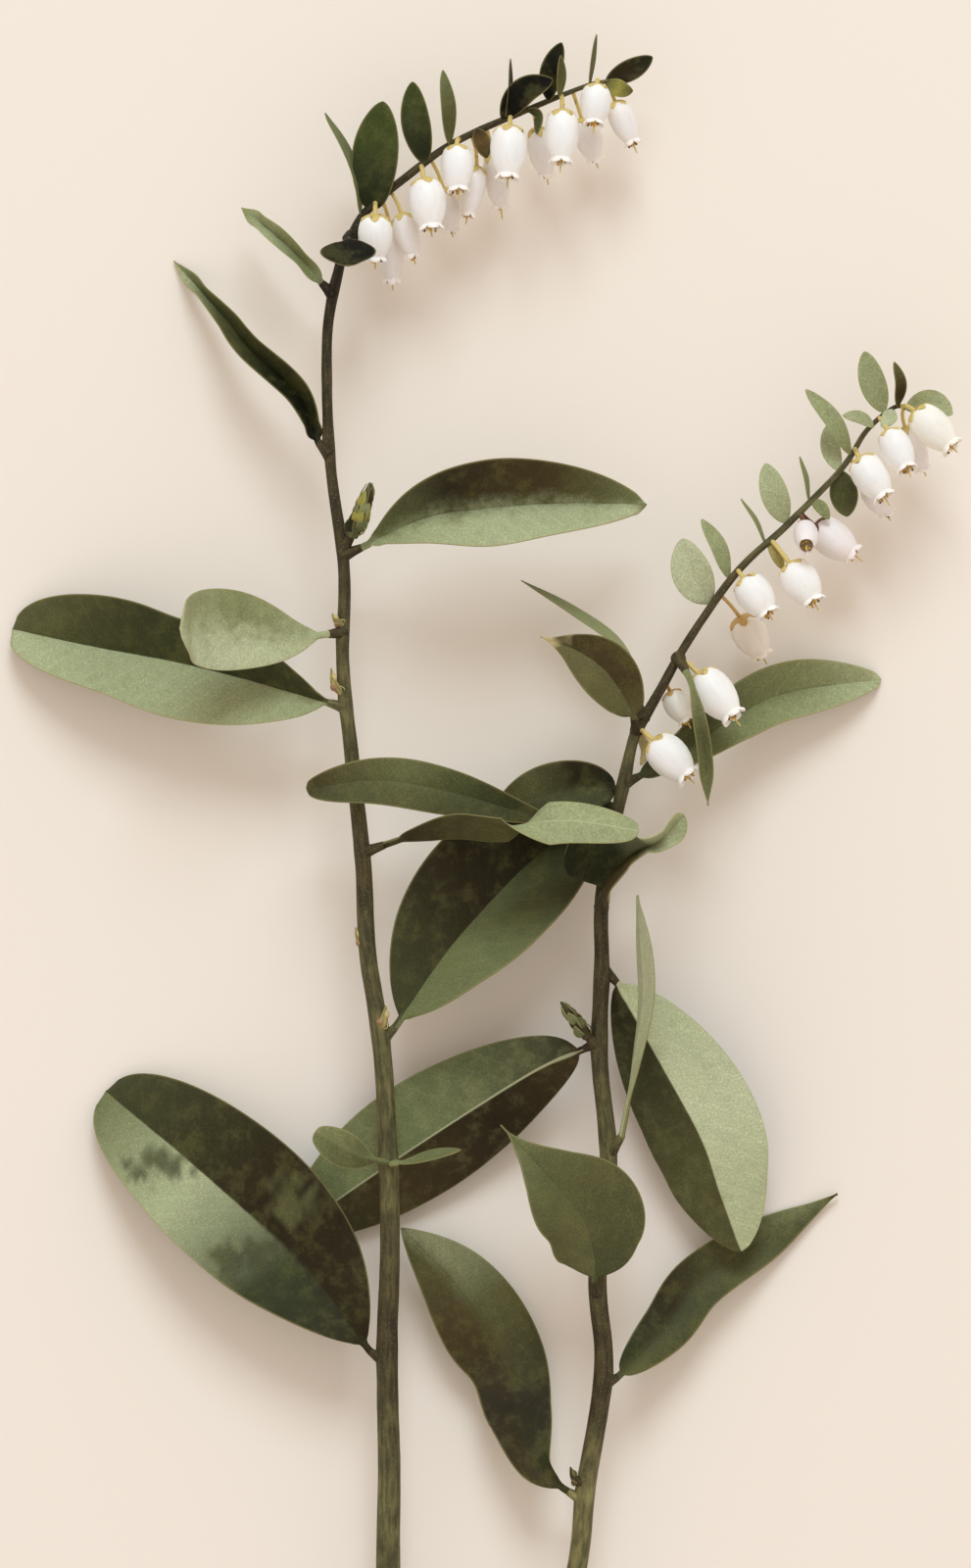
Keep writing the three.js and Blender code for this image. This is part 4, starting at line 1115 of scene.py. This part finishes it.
# Flowers. The rim is never drawn back between two lobes to less than a share of its rings. Where an anther or
# a style starts is a share of the length of its flower, and what varies is drawn at random between two ends.
LEAST_LOBE = 0.12
PETAL_RIDGE = 0.012
RIDGE_SPAN = (0.05, 0.3)
ROD_SIDES = 8
ROD_PROFILE = [0.8, 1.0, 0.9, 0.75, 0.6]
TIP_PROFILE = [0.65, 1.0, 0.9, 0.25]
FLOWER_SPIN = 6.28
FLOWER_OVAL = 0.05
ANTHER_FROM = 0.9
ANTHER_SPREAD = 0.3
ANTHER_OUT = (0.16, 0.36)
ANTHER_DOWN = (-0.35, 0.1)
ANTHER_LEAN = 0.25
TIP_RADIUS = 0.133
TIP_OVERLAP = 0.12
STYLE_FROM = 0.6
STYLE_SHARE = 0.5
STYLE_MORE = (0.2, 0.7)
STALK_WAIST = 0.9
STALK_BEND = 0.6
STALK_ABOVE = 1.5
STALK_SAG = 0.45
STALK_INTO = 0.1


def round_lobes(turn):
    """How far a petal reaches past the throat, by the angle round the mouth."""
    return np.abs(np.cos(turn * LOBES / 2)) ** 0.5


def pointed_lobes(turn):
    """How far a sepal reaches, by the angle round the calyx."""
    return 1 - np.abs(np.arcsin(np.sin(turn * LOBES / 2))) / (np.pi / 2)


def template(piece):
    """Keeps a finished mesh as a pattern to copy and takes its object away."""
    smooth_shading(piece, ROUND_BELOW)
    data = piece.data
    data.use_fake_user = True
    bpy.data.objects.remove(piece)
    return data


def lobed_cup(name, profile, throat, wall, lobes):
    """A cup, one long and one in radius, modelled once: a disc whose rim is drawn down ring by ring, with its
    rings drawn back between the lobes, and given a wall on its inner side."""
    bpy.ops.mesh.primitive_circle_add(vertices=PETAL_SIDES, radius=profile[0][0], fill_type="TRIFAN")
    piece = start(name)
    bpy.ops.object.mode_set(mode="EDIT")
    bpy.ops.mesh.select_all(action="SELECT")
    bpy.ops.mesh.region_to_loop()
    for (width, depth), (out, down) in zip(profile, profile[1:]):
        bpy.ops.mesh.extrude_edges_move(TRANSFORM_OT_translate={"value": (0, 0, down - depth)})
        bpy.ops.transform.resize(value=(out / width, out / width, 1), center_override=(0, 0, 0))
    bpy.ops.mesh.select_all(action="SELECT")
    bpy.ops.mesh.normals_make_consistent(inside=False)
    bpy.ops.object.mode_set(mode="OBJECT")
    points = read_points(piece)
    points[:, 2] += profile[0][1]
    rings = np.array(profile)
    wide = np.hypot(points[:, 0], points[:, 1])
    ring = np.argmin(np.abs(points[:, 2:3] - rings[:, 1]) + np.abs(wide[:, None] - rings[:, 0]), axis=1)
    turn = np.arctan2(points[:, 1], points[:, 0])
    reach = throat + (ring - throat) * np.maximum(lobes(turn), LEAST_LOBE)
    drawn = np.where(ring > throat, reach, ring)
    ridge = 1 + PETAL_RIDGE * np.cos(turn * LOBES) * smoothstep(points[:, 2], *RIDGE_SPAN)
    out = np.interp(drawn, np.arange(len(rings)), rings[:, 0]) * ridge
    points[:, :2] *= np.where(wide > 1e-6, out / np.maximum(wide, 1e-6), 1)[:, None]
    points[:, 2] = np.interp(drawn, np.arange(len(rings)), rings[:, 1])
    write_points(piece, points)
    if sum(face.normal.xy.dot(face.center.xy) for face in piece.data.polygons) < 0:
        piece.data.flip_normals()
    apply_modifier(piece, "SOLIDIFY", thickness=wall, offset=-1)
    return template(piece)


def rod_pattern(name, rows, profile):
    """A slim rod along Z, one long, with its radius running through a list."""
    bpy.ops.mesh.primitive_cylinder_add(vertices=ROD_SIDES, radius=1, depth=1, end_fill_type="NGON")
    piece = start(name)
    bpy.ops.object.mode_set(mode="EDIT")
    for row in range(1, rows):
        bpy.ops.mesh.select_all(action="SELECT")
        bpy.ops.mesh.bisect(plane_co=(0, 0, row / rows - 0.5), plane_no=(0, 0, 1))
    bpy.ops.object.mode_set(mode="OBJECT")
    points = read_points(piece)
    points[:, 2] += 0.5
    points[:, :2] *= along(profile, points[:, 2])[:, None]
    write_points(piece, points)
    return template(piece)


def flower_patterns():
    """The parts of a flower that are modelled once: urn, calyx, and the rods for anthers and style."""
    return {
        "urn": lobed_cup("urn_pattern", URN, URN_THROAT, PETAL_THICK / 2, round_lobes),
        "calyx": lobed_cup("calyx_pattern", CALYX, CALYX_THROAT, SEPAL_THICK / 2, pointed_lobes),
        "rod": rod_pattern("rod_pattern", 4, ROD_PROFILE),
        "tip": rod_pattern("tip_pattern", 3, TIP_PROFILE),
    }


def scaled(x, y, z):
    """A matrix that gives a pattern its size in millimetres."""
    return Matrix.Diagonal((x * MM, y * MM, z * MM, 1))


def moved(x, y, z):
    """A matrix that moves a part by millimetres."""
    return Matrix.Translation(Vector((x, y, z)) * MM)


def stamp(name, data, matrix, size, look):
    """A copy of a pattern with its own mesh, moved by a matrix, which keeps its place in millimetres."""
    mesh = data.copy()
    mesh.use_fake_user = False
    piece = bpy.data.objects.new(name, mesh)
    bpy.context.scene.collection.objects.link(piece)
    write_attribute(piece, "petal_mm", "FLOAT_VECTOR", read_points(piece) * size + hash_number(name) * 3)
    mesh.transform(matrix)
    skin(piece, look)
    return piece


def tone_flower(piece, tone):
    write_tone(piece, "flower_tone", tone_points(tone, np.zeros(len(piece.data.vertices))))


def flower_piece(name, flower, patterns, draw):
    """A nodding flower: urn, calyx, anthers and style, in the place that its solid holds."""
    axis = flower["mouth"] - flower["top"]
    long = np.linalg.norm(axis)
    radius = flower["radius"]
    spin = Matrix.Rotation(draw.uniform(0, FLOWER_SPIN), 4, "Z")
    turn = Vector(axis).to_track_quat("Z", "Y").to_matrix().to_4x4() @ spin
    here = Matrix.Translation(Vector(to_frame(flower["top"]))) @ turn
    oval = 1 + draw.uniform(-FLOWER_OVAL, FLOWER_OVAL)
    grow = here @ scaled(radius * oval, radius / oval, long)
    size = np.array([radius, radius, long])
    pieces = []
    for part in ("urn", "calyx"):
        kind = "petal" if part == "urn" else "calyx"
        piece = stamp(f"{name}_{part}", patterns[part], grow, size, kind)
        tone_flower(piece, flower[kind])
        pieces.append(piece)
    for i in range(ANTHERS):
        around = 2 * math.pi * i / ANTHERS + draw.uniform(-ANTHER_SPREAD, ANTHER_SPREAD)
        out = radius * draw.uniform(*ANTHER_OUT)
        low = long * ANTHER_FROM + draw.uniform(*ANTHER_DOWN)
        foot = here @ moved(math.cos(around) * out, math.sin(around) * out, low)
        for way in "XY":
            foot = foot @ Matrix.Rotation(draw.uniform(-ANTHER_LEAN, ANTHER_LEAN), 4, way)
        body = foot @ scaled(ANTHER_RADIUS, ANTHER_RADIUS, ANTHER_LONG)
        pieces.append(stamp(f"{name}_anther_{i}", patterns["rod"], body, size, "anther"))
        cap = foot @ moved(0, 0, ANTHER_LONG - TIP_OVERLAP) @ scaled(TIP_RADIUS, TIP_RADIUS, ANTHER_TIP)
        look = "anther_tip" if i % 3 == 0 or flower["brown_anthers"] else "anther"
        pieces.append(stamp(f"{name}_anther_tip_{i}", patterns["tip"], cap, size, look))
    style_long = long * STYLE_SHARE + draw.uniform(*STYLE_MORE)
    style = here @ moved(0, 0, long * STYLE_FROM) @ scaled(STYLE_RADIUS, STYLE_RADIUS, style_long)
    column = stamp(f"{name}_style", patterns["rod"], style, size, "calyx")
    tone_flower(column, CALYX_TONE)
    pieces.append(column)
    return join(f"{name}_bloom", pieces)


def flower_stalk(name, spine, flower):
    """A flower's stalk, curved from the axis to the calyx."""
    top = flower["top"]
    down = unit(flower["mouth"] - top)
    root = spine.points[spine.nearest(top - down * STALK_ABOVE)]
    bend = mix(root, top, STALK_BEND) - down * STALK_SAG
    thick = STALK_RADIUS_BACK if flower["back"] else STALK_RADIUS_FRONT
    radii = [thick, thick * STALK_WAIST, thick]
    path = [root, bend, top + down * STALK_INTO]
    piece = round_limb(name, path, radii, SLIM_SIDES, SLIM_STEP, look="calyx")
    write_attribute(piece, "petal_mm", "FLOAT_VECTOR", read_points(piece) / MM)
    tone_flower(piece, flower["calyx"])
    return piece


# The pieces of the branch.
def show_cut(trunk, end):
    """Gives the end face at a point the look of cut wood."""
    ends = [face for face in trunk.data.polygons if len(face.vertices) > 4]
    cut = min(ends, key=lambda face: (face.center - Vector(to_frame(np.array(end)))).length)
    skin(trunk, "cut")
    cut.material_index = 1


def make_stem(node, stem, borne, forks=()):
    spine = Spine(stem["path"])
    tones = stem["tones"]
    relief = bark_relief([leaf["path"][0] for leaf in borne])
    trunk = round_limb(
        f"{node}_bark", stem["path"], stem["radii"], BARK_SIDES, BARK_STEP, tones, relief, degrees=ROUND_BELOW
    )
    show_cut(trunk, stem["path"][0])
    pieces = [trunk]
    for i, leaf in enumerate(borne):
        pieces.append(peg(f"{node}_cushion_{i}", spine, leaf["path"], tones))
    for fork in forks:
        pieces.append(peg(f"{node}_fork", spine, fork["path"], tones, FORK_RADIUS, FORK_SIDES))
    for i, bud in enumerate(SMALL_BUDS[node]):
        pieces += bud_pieces(f"{node}_bud_{i}", bud)
    hand_in(join(f"{node}_dressed", pieces), node)


def make_leaves(leaves):
    for node, leaf in leaves.items():
        hand_in(leaf_piece(f"{node}_blade", leaf), node)


def make_buds(buds):
    for node, bud in buds.items():
        hand_in(join(f"{node}_scales", bud_pieces(node, bud)), node)


def make_spike(node, spike, borne):
    spine = Spine(spike["axis"])
    tones = spike["tones"]
    axis = round_limb(
        f"{node}_axis", spike["axis"], spike["radii"], AXIS_SIDES, AXIS_STEP, tones, bark_relief([]),
        degrees=ROUND_BELOW,
    )
    pieces = [axis]
    for i, bract in enumerate(spike["bracts"]):
        pieces.append(leaf_piece(f"{node}_leaf_{i + 1}", bract, BRACT_CELLS))
    for i, flower in enumerate(spike["flowers"]):
        pieces.append(flower_stalk(f"{node}_stalk_{i + 1}", spine, flower))
    for i, leaf in enumerate(borne.values()):
        pieces.append(peg(f"{node}_cushion_{i}", spine, leaf["path"], tones))
    hand_in(join(f"{node}_dressed", pieces), node)


def make_flowers(stem, spike, patterns, draw):
    for i, flower in enumerate(spike["flowers"]):
        node = f"{stem}_flower_{i + 1}"
        hand_in(flower_piece(node, flower, patterns, draw), node)


# The camera, in millimetres. It looks straight down, from so far off that the view is nearly flat. The image
# is 991 by 1600, and its long side is 160 mm of the sheet, measured at the height of the sharp plane.
CAMERA_OVER = (49.55, 80.0)
CAMERA_HIGH = 1600.0
SHARP_PLANE = 8.0
FRAME_LONG = 160.0
SENSOR = 36.0

# The floor and the light, in metres, watts and linear colours.
FLOOR_WIDE = 4.0
FLOOR_TONE = "#f0e7da"
WINDOW_WIDE = 1.1
WINDOW_POWER = 29.5
WINDOW_COLOUR = (0.72, 0.88, 1.0)
WINDOW_PLACE = (0.11, 1.74, 1.6)
WINDOW_AIM = (0.0, 0.02, 0.0)
SKY_COLOUR = (1.0, 0.885, 0.815, 1)
SKY_STRENGTH = 0.79


def make_camera():
    data = bpy.data.cameras.new("camera")
    data.lens = SENSOR * (CAMERA_HIGH - SHARP_PLANE) / FRAME_LONG
    data.sensor_width = SENSOR
    data.clip_start = 0.01
    data.clip_end = 20
    camera = bpy.data.objects.new("camera", data)
    bpy.context.scene.collection.objects.link(camera)
    camera.location = to_frame(np.array([*CAMERA_OVER, CAMERA_HIGH]))
    bpy.context.scene.camera = camera


def make_floor():
    bpy.ops.mesh.primitive_plane_add(size=FLOOR_WIDE)
    floor = start("floor")
    paper = Look("floor_cream_paper").done(colour(FLOOR_TONE), 0.9, Specular_IOR_Level=0.1)
    floor.data.materials.append(paper)


def make_light():
    """One soft light from the top of the image, and a faint pinkish sky that fills the shadows."""
    data = bpy.data.lights.new("window", "AREA")
    data.shape = "DISK"
    data.size = WINDOW_WIDE
    data.energy = WINDOW_POWER
    data.color = WINDOW_COLOUR
    window = bpy.data.objects.new("window", data)
    bpy.context.scene.collection.objects.link(window)
    window.location = WINDOW_PLACE
    aim = Vector(WINDOW_AIM) - window.location
    window.rotation_euler = aim.to_track_quat("-Z", "Y").to_euler()
    world = bpy.data.worlds.new("sky")
    world.use_nodes = True
    background = world.node_tree.nodes["Background"]
    background.inputs["Color"].default_value = SKY_COLOUR
    background.inputs["Strength"].default_value = SKY_STRENGTH
    bpy.context.scene.world = world
    bpy.context.scene.view_settings.view_transform = "Standard"


def main():
    bpy.ops.object.select_all(action="DESELECT")
    make_camera()
    make_floor()
    make_light()
    make_stem("main_stem", MAIN_STEM, [*MAIN_LEAVES.values(), BUDS["main_bud"]], [SIDE_STEM])
    make_stem("side_stem", SIDE_STEM, [*SIDE_LEAVES.values(), BUDS["side_bud"]])
    make_leaves({**MAIN_LEAVES, **SIDE_LEAVES, **MAIN_SPIKE_LEAVES, **SIDE_SPIKE_LEAVES})
    make_buds(BUDS)
    make_spike("main_flower_spike", MAIN_SPIKE, MAIN_SPIKE_LEAVES)
    make_spike("side_flower_spike", SIDE_SPIKE, SIDE_SPIKE_LEAVES)
    patterns = flower_patterns()
    draw = random.Random(11)
    make_flowers("main", MAIN_SPIKE, patterns, draw)
    make_flowers("side", SIDE_SPIKE, patterns, draw)
    for data in patterns.values():
        bpy.data.meshes.remove(data)


main()
